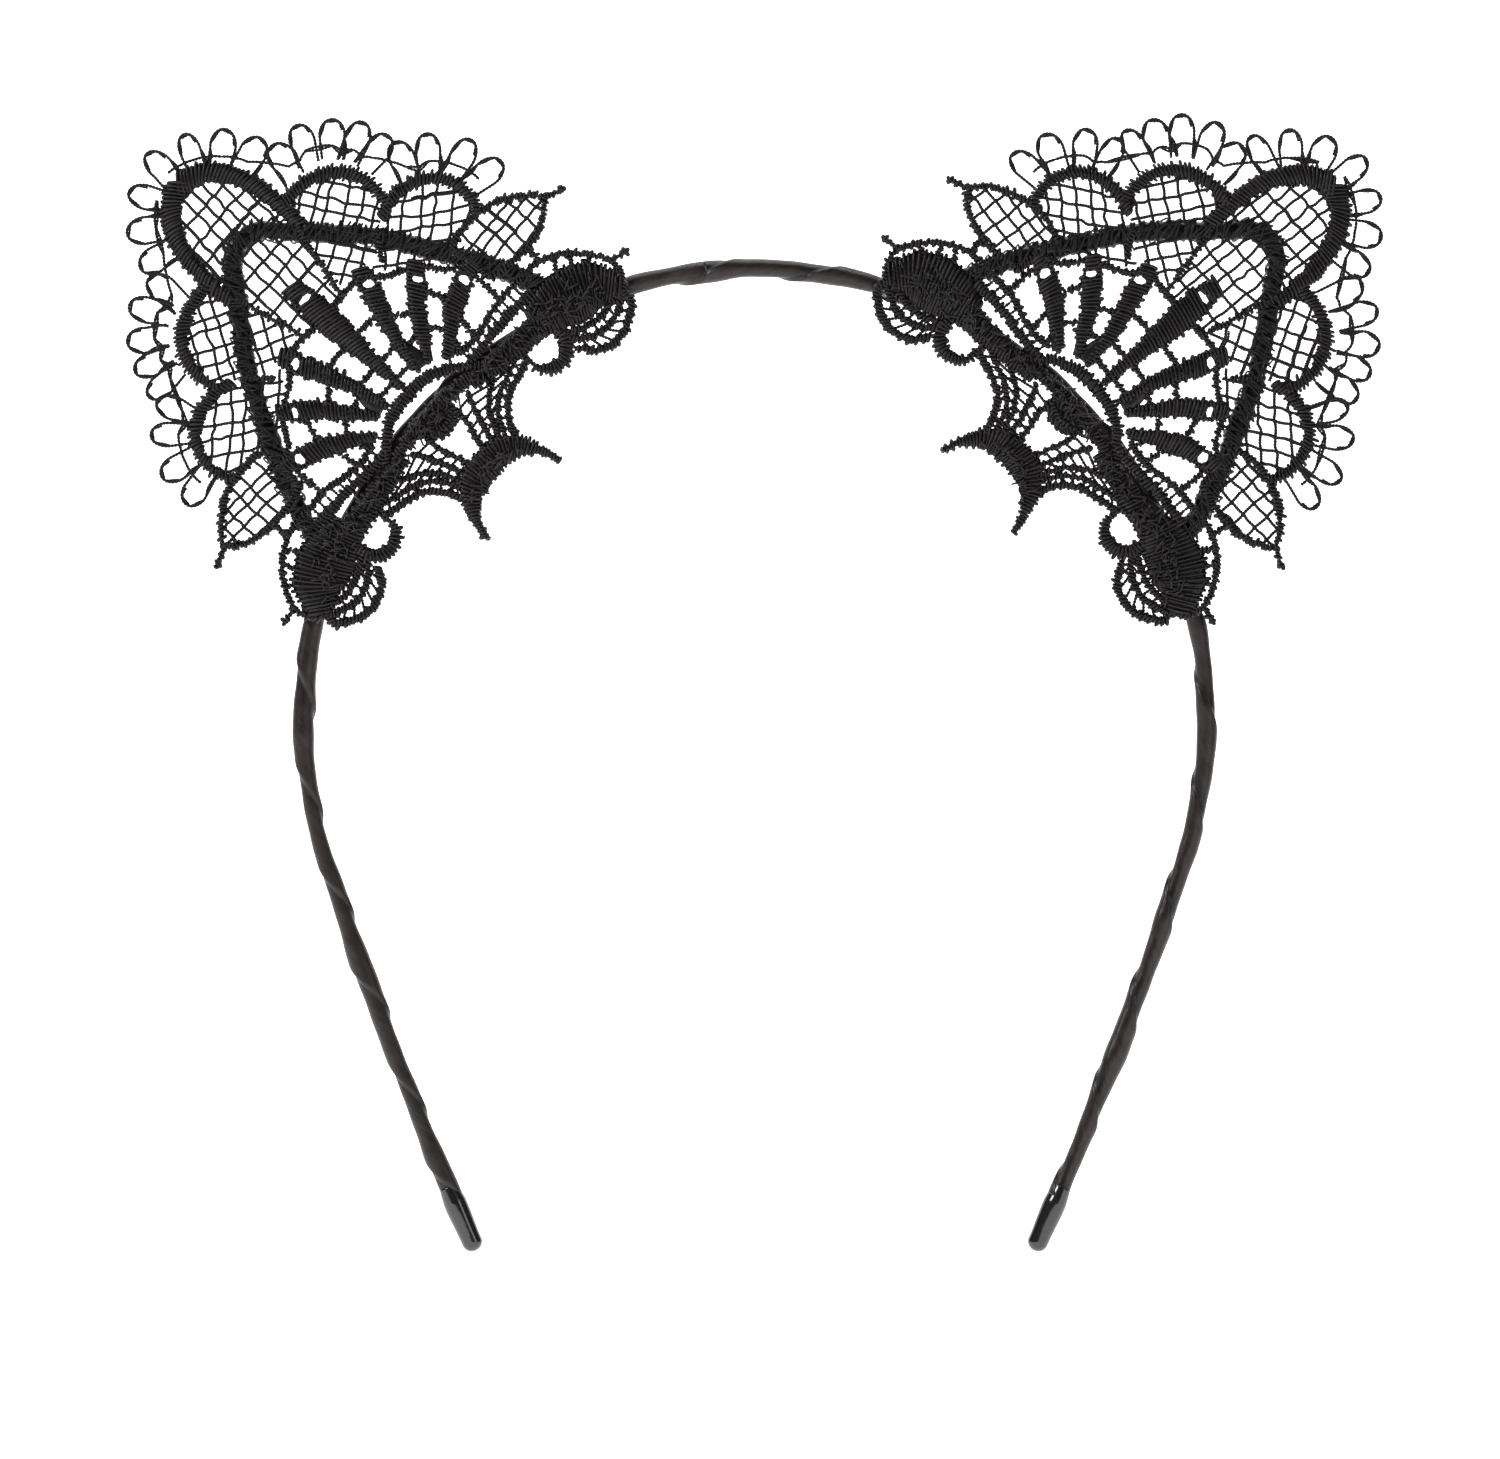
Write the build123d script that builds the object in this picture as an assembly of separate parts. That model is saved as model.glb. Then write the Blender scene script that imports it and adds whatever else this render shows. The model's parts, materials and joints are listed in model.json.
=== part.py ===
from build123d import *
import math
import os

# Lace cat-ear headband: a ribbon-bound spring wire hoop that carries two wired lace ears.
# Row frame, millimetres: +X to the right in a front view, +Z up, the front faces -Y. The origin is the
# underside of the hoop at its crown, where the headband sits on the head. Left and right are as seen in front.
# Each ear is drawn upright in its own frame (u across, v up) and is then leaned and seated on the hoop.

# ---- driving dimensions ----
hoop_radius = 64.6          # centreline radius of the round upper part of the hoop
hoop_arc_deg = 108.0        # how far down each side the round part runs, from the crown
leg_radius = 573.0          # the legs below it are almost straight
leg_length = 60.0           # centreline length of each leg below the round part
wire_diameter = 1.5         # spring steel hoop wire
ribbon_diameter = 2.7       # over the wound satin ribbon
ribbon_clearance = 0.03     # between the wire and the ribbon's bore

cap_diameter = 3.1          # dipped plastic bead on each end
cap_length = 9.0
cap_wall = 0.5              # end of the wire to the outside of the dome, along the leg
cap_gap = 0.1               # end of the ribbon to the mouth of the bead
cap_mouth_round = 0.5       # rounding of the bead's open edge
wire_entry = 1.0            # the bead's bore is cut from this far before its mouth
wire_end_gap = 0.05         # end of the wire to the bottom of the bore

seat_deg = {"right": 45.7, "left": 46.7}    # where each ear sits on the hoop, from the crown
seat_drop = 0.5             # each ear's own origin inside the hoop's centreline
lean_deg = {"right": 49.4, "left": -47.5}   # each ear's lean from upright, positive towards +X

frame_wire_diameter = 1.2   # soft iron wire inside each ear
frame_wrap_diameter = 2.0   # over its thread winding
lace_clearance = 0.05       # between the lashings and the back of the lace
lace_thickness = 1.2        # satin-stitched parts
net_thickness = 0.5         # net ground and loops
net_thread = 0.45           # width of one net thread
picot_thread = 0.42         # width of one edge loop thread
cord_width = 1.0            # corded outline
tail_width = 0.8            # corded tails at the petals' and scallops' tips
spine_width = 1.2           # bar between the apex net and the side net
rim_width = 0.8             # cords that link the heads of the fan's spokes
fan_bar_width = 0.7         # cords across the fan
rung_width = 0.8            # ladder between the leaf and its outline
tie_width = 0.9             # short ties in the base
arm_width = 0.9             # cords that carry the horned piece under the ear
arm_rung_width = 0.7        # ties across those cords
waist_width = 1.6           # bar behind the rosette

crown_joint_deg = 12.5      # where the hoop flexes beside the crown
leg_joint_deg = 80.0        # where it flexes below each ear
sleeve_gap = 0.35           # ribbon cut back from a flex point, each side
wire_gap = 0.12             # between the ball end of one wire and the flat end of the next
fold_v = 2.0                # height of the fold line where an ear tilts
wrap_gap = 0.9              # winding cut back from the fold

binding_length = 4.0        # thread lashing along the hoop
binding_wall = 0.4
foot_clearance = 0.06       # between the hoop's ribbon and the frame's foot
tack_wall = 0.35            # thread stitched round the frame and into the lace
tack_width = 1.1

wire_r = wire_diameter / 2
ribbon_r = ribbon_diameter / 2
frame_r = frame_wire_diameter / 2
wrap_r = frame_wrap_diameter / 2
centre_z = ribbon_r - hoop_radius
lace_back = ribbon_r + binding_wall + lace_clearance   # back face of the lace in front of the hoop's plane
lace_mid = lace_back + lace_thickness / 2

# ---- lace drawing, one half, in the ear frame (u, v) ----
apex_half = [(0, 47.9), (3.3, 46.3), (5.5, 43.3), (6.7, 40), (7.1, 36), (7.2, 32.6)]
apex_widths = [3.5, 3.1, 2.7, 2.5, 2.3, 2.0]
arch_one = [(7.6, 35.0), (11, 35.2), (14, 34.4), (16.4, 32.6), (17.8, 30), (18.1, 27.3), (17.4, 24.4)]
arch_two = [(15.4, 22.6), (18.5, 24), (21.5, 24.1), (24, 23.1), (25.7, 21.2), (26.5, 18.7), (26.5, 16.2),
            (26, 14.2)]
arch_width = 2.1
petal_top = [(19.0, 12.6), (21.5, 13.7), (24, 14.1), (27, 14.0), (30, 12.6), (32.2, 10.7), (33.8, 8.9)]
petal_bottom = [(33.8, 8.9), (32, 7.1), (29.3, 5.8), (26, 5.5), (22.8, 5.9), (19.6, 7.0)]
petal_width = 1.4
petal_tail = [(33.4, 9.1), (35.2, 8.0), (36.3, 7.4)]
spine = [(7.0, 32.8), (6.2, 28.4), (5.3, 24.5), (4.7, 20.8)]

spokes = [
    ([(0, 6.6), (0, 10), (0, 15), (0, 19), (0, 24), (0, 26.3)], [1.4, 2.4, 3.4, 4.2, 4.0, 2.2], (0, 23.7)),
    ([(3.0, 6.6), (3.9, 10), (5.9, 15), (7.7, 18.4), (8.6, 21)], [1.1, 2.2, 3.1, 3.6, 2.4], (7.7, 18.5)),
    ([(5.7, 6.8), (7.4, 9.2), (10, 12), (13, 14.2), (14.9, 15.6)], [1.1, 2.2, 3.0, 3.4, 2.4], (13, 14.1)),
    ([(9.6, 6.2), (11.6, 7.2), (13.8, 8.1), (16.6, 8.9), (19.4, 9.6)], [1.8, 2.6, 3.4, 3.6, 2.6], (17.4, 8.9)),
]
eyelet_radius = 0.75
rims = [
    [(2.0, 20.4), (5, 20.4), (8.6, 20.7)],
    [(8.9, 20.4), (10.2, 17.8), (12.2, 16.4), (14.6, 15.8)],
    [(14.9, 15.4), (15.9, 12.9), (17.4, 11.2), (19.2, 10.2)],
]
fan_bars = [
    [(0, 15.3), (5.6, 14.9), (9.0, 13.2), (12.2, 10.9), (15.6, 9.9)],
    [(0, 10.0), (3.9, 9.8), (6.6, 9.0), (9.0, 7.9), (10.8, 7.0)],
]

central_arch = [(-7.6, 0.2), (-6, 2.2), (-3.5, 3.6), (0, 4.1), (3.5, 3.6), (6, 2.2), (7.6, 0.2)]
central_width = 2.2
rosette_radius = 3.0
rosette_v = -1.4
waist = [(-9.4, -1.4), (0, -0.4), (9.4, -1.4)]
upper_cord = [(8.6, 0.4), (12, 1.6), (15.5, 2.7), (19.5, 3.0), (23.5, 2.7), (27.6, 1.9), (30.4, -0.2),
              (32.2, -2.2), (33.3, -4.2), (34.2, -5.5)]
scallop_tail = [(33.9, -5.2), (35.0, -5.6), (36.0, -5.7)]
scallop_return = [(34.0, -5.2), (33.4, -7.0), (31.8, -8.2)]
leaf = [(8.6, -1.2), (13, -1.4), (18, -1.9), (23, -2.6), (27.5, -4.4), (30.6, -7.6)]
leaf_widths = [2.6, 4.2, 5.4, 8.2, 8.4, 4.0]
rung_places = [12.2, 14.4, 16.6, 18.8, 21.0]
rung_foot_v = 0.2
rung_top_v = 2.4
outer_arm = [(5.2, -12.2), (7.0, -8.3), (9.0, -6.6), (11.8, -5.6), (15.2, -5.0)]
middle_arm = [(4.2, -11.8), (6.0, -7.3), (7.8, -5.4), (10.4, -4.2), (12.4, -3.6)]
inner_arm = [(2.9, -11.0), (4.2, -7.0), (5.1, -4.9), (5.2, -2.4)]
first_arm = [(1.6, -10.6), (2.4, -6.6), (3.0, -4.2), (3.4, -2.4)]
arm_rungs = [((2.2, -7.9), (7.4, -8.1)), ((2.8, -5.4), (9.4, -6.6))]
horn = [(-7.6, -18.3), (-6.8, -15.6), (-5.0, -13.1), (-2.5, -11.7), (0, -11.4), (2.5, -11.7), (5.0, -13.1),
        (6.8, -15.6), (7.6, -18.3)]
horn_widths = [0.8, 1.6, 3.0, 4.2, 4.4, 4.2, 3.0, 1.6, 0.8]
ring_line = [(14.8, -5.2), (15.5, -7.6), (17.0, -9.0), (19.2, -9.3), (21.0, -8.0), (21.4, -5.6)]
ring_widths = [1.0, 1.3, 1.9, 2.2, 2.2, 2.0]
curl = [(31.0, -9.4), (30.6, -11.2), (28.4, -12.6), (25.8, -12.9), (23.4, -12.0), (22.0, -10.3), (22.2, -8.6),
        (21.6, -6.9)]
curl_inner = [(30.4, -9.2), (28.2, -10.2), (25.4, -10.1), (22.6, -9.6)]
ties = [((33.2, -4.0), (29.6, -3.6)), ((26.0, -10.1), (26.2, -12.9)), ((28.8, 1.6), (27.0, -1.2)),
        ((9.2, 0.6), (9.6, -0.6)), ((29.0, -9.6), (29.0, -7.6))]

loop_centres = [(4.6, 50.3), (8.3, 47.1), (10.6, 43.2), (12.7, 39.9), (16.5, 39.3), (19.9, 36.8), (21.9, 33.6),
                (23.0, 30.3), (24.6, 27.2), (27.7, 24.9), (30.0, 21.0), (30.7, 16.7)]
crown_loop = (0, 51.9)
loop_radius = 1.85          # to the middle of the thread
loop_knots = [
    [(2.4, 50.4), (5.9, 47.7), (8.3, 44.4), (10.0, 41.2)],
    [(10.6, 38.7), (14.7, 39.1), (18.0, 37.2), (20.0, 34.6), (21.6, 31.7), (22.0, 28.8)],
    [(22.6, 27.2), (25.4, 25.2), (28.2, 22.5), (28.9, 18.9), (28.7, 15.3)],
]
stem_feet = [
    [(1.2, 49.0), (4.2, 47.0), (6.6, 43.9), (8.0, 40.4)],
    [(9.4, 36.0), (13.4, 35.6), (15.9, 34.2), (17.8, 32.2), (18.9, 30.2), (19.0, 27.9)],
    [(19.6, 24.6), (23.2, 24.4), (25.6, 22.6), (27.2, 18.9), (27.2, 15.8)],
]

net_a = {"angles": (0, 90), "pitch": (2.9, 1.9), "from": (0.6, 30.4)}
net_b = {"angles": (28, -62), "pitch": (2.3, 2.1), "from": (11.4, 30.0)}
net_c = {"angles": (38, -36), "pitch": (2.2, 2.2), "from": (20.2, 20.0)}
net_d = {"angles": (0, 90), "pitch": (2.0, 2.7), "from": (27.6, 10.1)}

# ear frame wire: half, from the apex down to the bent foot that lies along the hoop
frame_half = [(0, 36.5), (2.8, 35.6), (5.8, 32.0), (9.2, 28.0), (12.3, 24.3), (14.8, 20.3), (17.2, 16),
              (19.4, 12), (21.3, 8.2), (22.9, 4.2), (23.6, fold_v)]
foot_u = 28.4               # middle of each foot, across the ear


# ---- small helpers ----
def value_along(values, t):
    """Values spaced evenly over 0..1, read at t."""
    k = min(int(t * (len(values) - 1)), len(values) - 2)
    f = t * (len(values) - 1) - k
    return values[k] * (1 - f) + values[k + 1] * f


def strip(points, widths=cord_width):
    """A flat band of the given width, or widths, along a smooth line through the points."""
    if not isinstance(widths, list):
        widths = [widths, widths]
    line = Spline(*points)
    count = 3 * (len(points) - 1)
    left, right = [], []
    for i in range(count + 1):
        t = i / count
        p, d = line.position_at(t), line.tangent_at(t)
        half = value_along(widths, t) / 2
        left.append((p.X - d.Y * half, p.Y + d.X * half))
        right.append((p.X + d.Y * half, p.Y - d.X * half))
    right.reverse()
    edges = [Spline(*left), Line(left[-1], right[0]), Spline(*right), Line(right[-1], left[0])]
    return make_face(edges)


def bar(a, b, width):
    """A straight band from a to b."""
    du, dv = b[0] - a[0], b[1] - a[1]
    middle = Location(((a[0] + b[0]) / 2, (a[1] + b[1]) / 2, 0), (0, 0, math.degrees(math.atan2(dv, du))))
    return middle * Rectangle(math.hypot(du, dv), width)


def both(points):
    """The mirrored copy of a half drawing's points."""
    return [(-u, v) for u, v in points]


def whole(half):
    """A full line from a half that starts on the ear's own centre line."""
    return [(-u, v) for u, v in reversed(half[1:])] + list(half)


def fuse(faces):
    """One flat sketch of many overlapping faces."""
    first, rest = faces[0], faces[1:]
    return (Sketch() + first).fuse(*rest) if rest else Sketch() + first


def mirrored(faces):
    return list(faces) + [mirror(f, about=Plane.YZ) for f in faces]


def panel(sketch, back, thickness):
    """A flat sketch as a plate whose back face is `back` in front of the hoop's plane."""
    return extrude(Pos(0, -back, 0) * Plane.XZ.location * sketch, amount=thickness, dir=(0, -1, 0))


def hoop_at(angle, radius=hoop_radius):
    """A point on the hoop, by its angle from the crown towards +X."""
    a = math.radians(angle)
    return (radius * math.sin(a), 0, centre_z + radius * math.cos(a))


hoop_axis = Axis((0, 0, centre_z), (0, 1, 0))
leg_deg = math.degrees(leg_length / leg_radius)
back_off = leg_radius - hoop_radius
leg_centre = (-back_off * math.sin(math.radians(hoop_arc_deg)), 0,
              centre_z - back_off * math.cos(math.radians(hoop_arc_deg)))
leg_axis = Axis(leg_centre, (0, 1, 0))


def leg_at(angle):
    a = math.radians(angle)
    return (leg_centre[0] + leg_radius * math.sin(a), 0, leg_centre[2] + leg_radius * math.cos(a))


def sweep_ring(profile, start, end, radius, centre, axis):
    """A profile (x outward, y to the back) turned about the centre from one angle to another."""
    a = math.radians(start)
    at = (centre[0] + radius * math.sin(a), 0, centre[2] + radius * math.cos(a))
    section = Plane(at, x_dir=(math.sin(a), 0, math.cos(a)), z_dir=(-math.cos(a), 0, math.sin(a)))
    return revolve(section.location * profile, axis=axis, revolution_arc=end - start)


def ring(profile, start, end):
    return sweep_ring(profile, start, end, hoop_radius, (0, 0, centre_z), hoop_axis)


def along_leg(profile, start, end):
    return sweep_ring(profile, start, end, leg_radius, leg_centre, leg_axis)


def hoop_deg(length):
    return math.degrees(length / hoop_radius)


def leg_arc(length):
    return math.degrees(length / leg_radius)


sides = {"right": 1, "left": -1}
wire = Circle(wire_r)
sleeve = Circle(ribbon_r) - Circle(wire_r + ribbon_clearance)
flat_start = hoop_deg(wire_r + wire_gap)
cut = hoop_deg(sleeve_gap)

pieces = {}
crown_wire = ring(wire, -crown_joint_deg, crown_joint_deg)
for sign in (1, -1):
    crown_wire += Pos(hoop_at(sign * crown_joint_deg)) * Sphere(wire_r)
pieces["crown_wire"] = crown_wire
pieces["crown_ribbon"] = ring(sleeve, -crown_joint_deg + cut, crown_joint_deg - cut)

leg_end = hoop_arc_deg + leg_deg
bare_end = leg_end - leg_arc(cap_wall)
cap_start = leg_end - leg_arc(cap_length)
bead_r = cap_diameter / 2
mouth_bevel = cap_mouth_round * (1 - math.sqrt(0.5))
half_bead = make_face([
    Line((0, 0), (bead_r - cap_mouth_round, 0)),
    ThreePointArc((bead_r - cap_mouth_round, 0), (bead_r - mouth_bevel, -mouth_bevel), (bead_r, -cap_mouth_round)),
    Line((bead_r, -cap_mouth_round), (bead_r, bead_r - cap_length)),
    ThreePointArc((bead_r, bead_r - cap_length),
                  (bead_r * math.sqrt(0.5), bead_r * (1 - math.sqrt(0.5)) - cap_length), (0, -cap_length)),
    Line((0, -cap_length), (0, 0))])

for side, sign in sides.items():
    shoulder = ring(wire, crown_joint_deg + flat_start, leg_joint_deg)
    shoulder += Pos(hoop_at(leg_joint_deg)) * Sphere(wire_r)
    shoulder_ribbon = ring(sleeve, crown_joint_deg + cut, leg_joint_deg - cut)
    leg = ring(wire, leg_joint_deg + flat_start, hoop_arc_deg) + along_leg(wire, hoop_arc_deg, bare_end)
    leg_ribbon = ring(sleeve, leg_joint_deg + cut, hoop_arc_deg)
    leg_ribbon += along_leg(sleeve, hoop_arc_deg, cap_start - leg_arc(cap_gap))
    mouth = leg_at(cap_start)
    tilt = math.radians(leg_end - leg_arc(cap_length / 2))
    down = (math.cos(tilt), 0, -math.sin(tilt))
    seat = Plane(mouth, x_dir=(math.sin(tilt), 0, math.cos(tilt)), z_dir=(-down[0], 0, -down[2]))
    bead = revolve(Plane.XZ.location * half_bead, axis=Axis.Z)
    bead = seat.location * bead
    bore = along_leg(Circle(wire_r + ribbon_clearance), cap_start - leg_arc(wire_entry),
                     bare_end + leg_arc(wire_end_gap))
    bead -= bore
    for name, solid in (("shoulder_wire", shoulder), ("shoulder_ribbon", shoulder_ribbon), ("leg_wire", leg),
                        ("leg_ribbon", leg_ribbon), ("end_bead", bead)):
        pieces[side + "_" + name] = solid if sign > 0 else mirror(solid, about=Plane.YZ)

# ---- one ear, drawn upright with its origin on the hoop's centreline ----
apex = strip(whole(apex_half), list(reversed(apex_widths[1:])) + apex_widths)
border = fuse([apex] + mirrored([strip(arch_one, arch_width), strip(arch_two, arch_width),
                                 strip(petal_top, petal_width), strip(petal_bottom, petal_width),
                                 strip(petal_tail, tail_width), strip(spine, spine_width)]))

fan_faces = []
for points, widths, eyelet in spokes:
    spoke = strip(points, widths) - Pos(*eyelet) * Circle(eyelet_radius)
    fan_faces += [spoke] if points[0][0] == 0 else mirrored([spoke])
fan_faces += mirrored([strip(line, rim_width) for line in rims])
fan_faces += [strip(whole(line), fan_bar_width) for line in fan_bars]
fan = fuse(fan_faces)
for points, widths, eyelet in spokes:
    for u in {eyelet[0], -eyelet[0]}:
        fan -= Pos(u, eyelet[1]) * Circle(eyelet_radius)
fan -= border


def net_zone(outline, net, flip=1):
    """Two crossing sets of threads, trimmed to an outline."""
    start_u, start_v = net["from"]
    zone = make_face(Polyline(*outline, close=True))
    reach = 15              # longer than half of any cell
    threads = []
    for angle, pitch in zip(net["angles"], net["pitch"]):
        a = math.radians(angle)
        for k in range(-9, 10):
            cu, cv = start_u - k * pitch * math.sin(a), start_v + k * pitch * math.cos(a)
            threads.append(bar((cu - reach * math.cos(a), cv - reach * math.sin(a)),
                               (cu + reach * math.cos(a), cv + reach * math.sin(a)), net_thread))
    return fuse(threads) & zone


centre_cell = [(0, 47.5), (4.0, 46), (6.4, 42), (7.0, 36), (6.9, 32.8), (6.2, 28.4), (5.3, 24.5), (4.6, 20.6),
               (2.1, 20.6), (0, 26)]
arch_cell_one = [(7.4, 34.9), (11, 35.2), (14, 34.4), (16.4, 32.6), (17.8, 30), (18.1, 27.3), (17.4, 24.4),
                 (15.4, 22.6), (12, 22.6), (8.6, 20.7), (4.8, 20.6), (6.2, 28.4), (7.2, 32.6)]
arch_cell_two = [(15.4, 22.6), (18.5, 24), (21.5, 24.1), (24, 23.1), (25.7, 21.2), (26.5, 18.7), (26.5, 16.2),
                 (26, 14.1), (22, 13.8), (19.4, 12.7), (15.9, 12.9), (14.6, 15.8), (12.2, 16.4), (9.6, 18.8),
                 (8.9, 20.6), (12, 22.4)]
petal_cell = petal_top + petal_bottom[1:]
net_parts = [net_zone(centre_cell + both(centre_cell[1:-1])[::-1], net_a)]
net_parts += mirrored([net_zone(arch_cell_one, net_b), net_zone(arch_cell_two, net_c),
                       net_zone(petal_cell, net_d)])
net = fuse(net_parts) - border - fan

loop = Circle(loop_radius + picot_thread / 2) - Circle(loop_radius - picot_thread / 2)
picot_faces = [Pos(*centre) * loop for centre in loop_centres]
for knots, feet in zip(loop_knots, stem_feet):
    picot_faces += [bar(knot, foot, picot_thread) for knot, foot in zip(knots, feet)]
    picot_faces.append(strip(knots, picot_thread))
first_knot = loop_knots[0][0]
crown_link = bar((-first_knot[0], first_knot[1]), first_knot, picot_thread)
picots = fuse(mirrored(picot_faces) + [Pos(*crown_loop) * loop, crown_link])
picots -= border

rungs = [bar((u, rung_foot_v), (u, rung_top_v), rung_width) for u in rung_places]
scrolls = fuse([strip(central_arch, central_width), Pos(0, rosette_v) * Circle(rosette_radius),
                strip(waist, waist_width)]
               + mirrored([strip(upper_cord), strip(scallop_tail, tail_width), strip(scallop_return),
                           strip(leaf, leaf_widths), strip(ring_line, ring_widths), strip(curl),
                           strip(curl_inner)] + rungs + [bar(a, b, tie_width) for a, b in ties]))
bridge = fuse([strip(horn, horn_widths)]
              + mirrored([strip(line, arm_width) for line in (outer_arm, middle_arm, inner_arm, first_arm)]
                         + [bar(a, b, arm_rung_width) for a, b in arm_rungs])) - scrolls

lace_panels = {
    "ear_border": panel(border, lace_back, lace_thickness),
    "ear_fan": panel(fan, lace_back, lace_thickness),
    "ear_net": panel(net, lace_mid - net_thickness / 2, net_thickness),
    "ear_edge_loops": panel(picots, lace_mid - net_thickness / 2, net_thickness),
    "base_scrolls": panel(scrolls, lace_back, lace_thickness),
    "base_bridge": panel(bridge, lace_back, lace_thickness),
}

# the wire inside the ear, hinged at the fold by its round ends, and its thread winding
fold_u = frame_half[-1][0]
frame_path = Spline(*[(u, 0, v) for u, v in whole(frame_half)])


def swept(profile_radius, bore_radius, path):
    """A round tube, or a rod when the bore is nothing, along a path."""
    start = Plane(path @ 0, z_dir=path % 0)
    solid = sweep(start * Circle(profile_radius), path=path)
    if bore_radius:
        solid -= sweep(start * Circle(bore_radius), path=path)
    return solid


ear_wire = swept(frame_r, 0, frame_path)
for u in (fold_u, -fold_u):
    ear_wire += Pos(u, 0, fold_v) * Sphere(frame_r)
trim = wrap_gap / frame_path.length
ear_wrap = swept(wrap_r, frame_r + ribbon_clearance, frame_path.trim(trim, 1 - trim))

# tack stitches round the frame, open at the front where they go into the lace
tack_r = wrap_r + ribbon_clearance + tack_wall
tack_inner = wrap_r + ribbon_clearance
reach = lace_back - ribbon_clearance
tack_profile = Circle(tack_r) + Pos(0, -reach / 2) * Rectangle(2 * tack_r, reach)
tack_profile -= Circle(tack_inner) + Pos(0, -reach / 2) * Rectangle(2 * tack_inner, reach)
tack_places = [0.06, 0.14, 0.22, 0.30, 0.38, 0.46, 0.54, 0.62, 0.70, 0.78, 0.86, 0.94]
tacks = []
for t in tack_places:
    at, along = frame_path @ t, frame_path % t
    across = Vector(-along.Z, 0, along.X)
    plane = Plane(at, x_dir=across, z_dir=along)
    if (plane.y_dir).Y < 0:
        plane = Plane(at, x_dir=-across, z_dir=along)
    tacks.append(extrude(plane * tack_profile, amount=tack_width / 2, both=True))

# each foot comes down from the fold and lies along the outside of the hoop, lashed to it
foot_radius = hoop_radius + ribbon_r + foot_clearance + frame_r
half_foot = hoop_deg(binding_length / 2)
fall = frame_path % 1
between = foot_radius - hoop_radius
lash_outer = make_hull(Circle(ribbon_r + binding_wall).edges()
                       + (Pos(between, 0) * Circle(frame_r + binding_wall)).edges())
lash_inner = make_hull(Circle(ribbon_r + ribbon_clearance).edges()
                       + (Pos(between, 0) * Circle(frame_r + ribbon_clearance)).edges())


def foot_and_lashing(turn):
    """The foot at +u and its lashing, for an ear turned this many degrees against the hoop at its seat."""
    seat_radius = hoop_radius - seat_drop
    cu, cv = seat_radius * math.sin(math.radians(turn)), -seat_radius * math.cos(math.radians(turn))
    middle = math.degrees(math.asin((foot_u - cu) / foot_radius))

    def at(angle, radius):
        a = math.radians(angle)
        return (cu + radius * math.sin(a), 0, cv + radius * math.cos(a))

    first, last = middle - half_foot, middle + half_foot
    a = math.radians(first)
    top = Vector(fold_u, 0, fold_v) + fall * (frame_r + wire_gap)
    drop = Spline(top, at(first, foot_radius), tangents=[fall, (math.cos(a), 0, -math.sin(a))])
    lie = ThreePointArc(at(first, foot_radius), at(middle, foot_radius), at(last, foot_radius))
    foot = sweep(Plane(drop @ 0, z_dir=drop % 0) * Circle(frame_r), path=Wire([drop, lie]))
    section = Plane(at(first, hoop_radius), x_dir=(math.sin(a), 0, math.cos(a)),
                    z_dir=(-math.cos(a), 0, math.sin(a)))
    lashing = revolve(section.location * (lash_outer - lash_inner), axis=Axis((cu, 0, cv), (0, 1, 0)),
                      revolution_arc=2 * half_foot)
    return foot, lashing


for side, sign in sides.items():
    place = Pos(*hoop_at(sign * seat_deg[side], hoop_radius - seat_drop)) * Rot(0, lean_deg[side], 0)
    for name, solid in lace_panels.items():
        pieces[f"{side}_{name}"] = place * solid
    pieces[f"{side}_ear_wire"] = place * ear_wire
    pieces[f"{side}_ear_winding"] = place * ear_wrap
    pieces[f"{side}_ear_tacks"] = Compound(children=[place * t for t in tacks])
    turn = lean_deg[side] - sign * seat_deg[side]
    for end, which in ((sign, "outer"), (-sign, "inner")):
        foot, lashing = foot_and_lashing(turn * end)
        if end < 0:
            foot, lashing = mirror(foot, about=Plane.YZ), mirror(lashing, about=Plane.YZ)
        pieces[f"{side}_{which}_foot_wire"] = place * foot
        pieces[f"{side}_{which}_foot_lashing"] = place * lashing

os.makedirs("parts", exist_ok=True)
for name, solid in pieces.items():
    export_step(solid, f"parts/{name}.step")
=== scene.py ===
import bpy
import json
import math
import numpy as np
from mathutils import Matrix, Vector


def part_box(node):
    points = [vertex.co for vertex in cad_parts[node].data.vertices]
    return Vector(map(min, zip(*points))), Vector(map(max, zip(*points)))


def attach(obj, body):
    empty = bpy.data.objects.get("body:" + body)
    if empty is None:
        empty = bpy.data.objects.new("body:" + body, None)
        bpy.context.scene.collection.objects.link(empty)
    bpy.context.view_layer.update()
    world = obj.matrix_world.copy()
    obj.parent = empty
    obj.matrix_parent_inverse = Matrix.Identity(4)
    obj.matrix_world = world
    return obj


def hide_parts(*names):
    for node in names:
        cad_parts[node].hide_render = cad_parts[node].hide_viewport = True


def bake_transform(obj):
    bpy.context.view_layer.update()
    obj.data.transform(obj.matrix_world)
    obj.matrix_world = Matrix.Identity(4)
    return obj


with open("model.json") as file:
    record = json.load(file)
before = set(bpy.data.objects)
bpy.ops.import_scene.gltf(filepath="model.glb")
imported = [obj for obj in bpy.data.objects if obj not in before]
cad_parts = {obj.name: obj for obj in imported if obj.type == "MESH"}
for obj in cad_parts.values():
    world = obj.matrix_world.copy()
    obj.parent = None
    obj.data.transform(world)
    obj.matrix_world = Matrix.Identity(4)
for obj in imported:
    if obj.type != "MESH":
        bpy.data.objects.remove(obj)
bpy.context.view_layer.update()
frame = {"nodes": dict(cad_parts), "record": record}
rng = np.random.default_rng(11)
mm = 0.001

# where things sit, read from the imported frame
joints = {j["name"]: j for j in frame["record"]["behaviour"]["joints"]}
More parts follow.
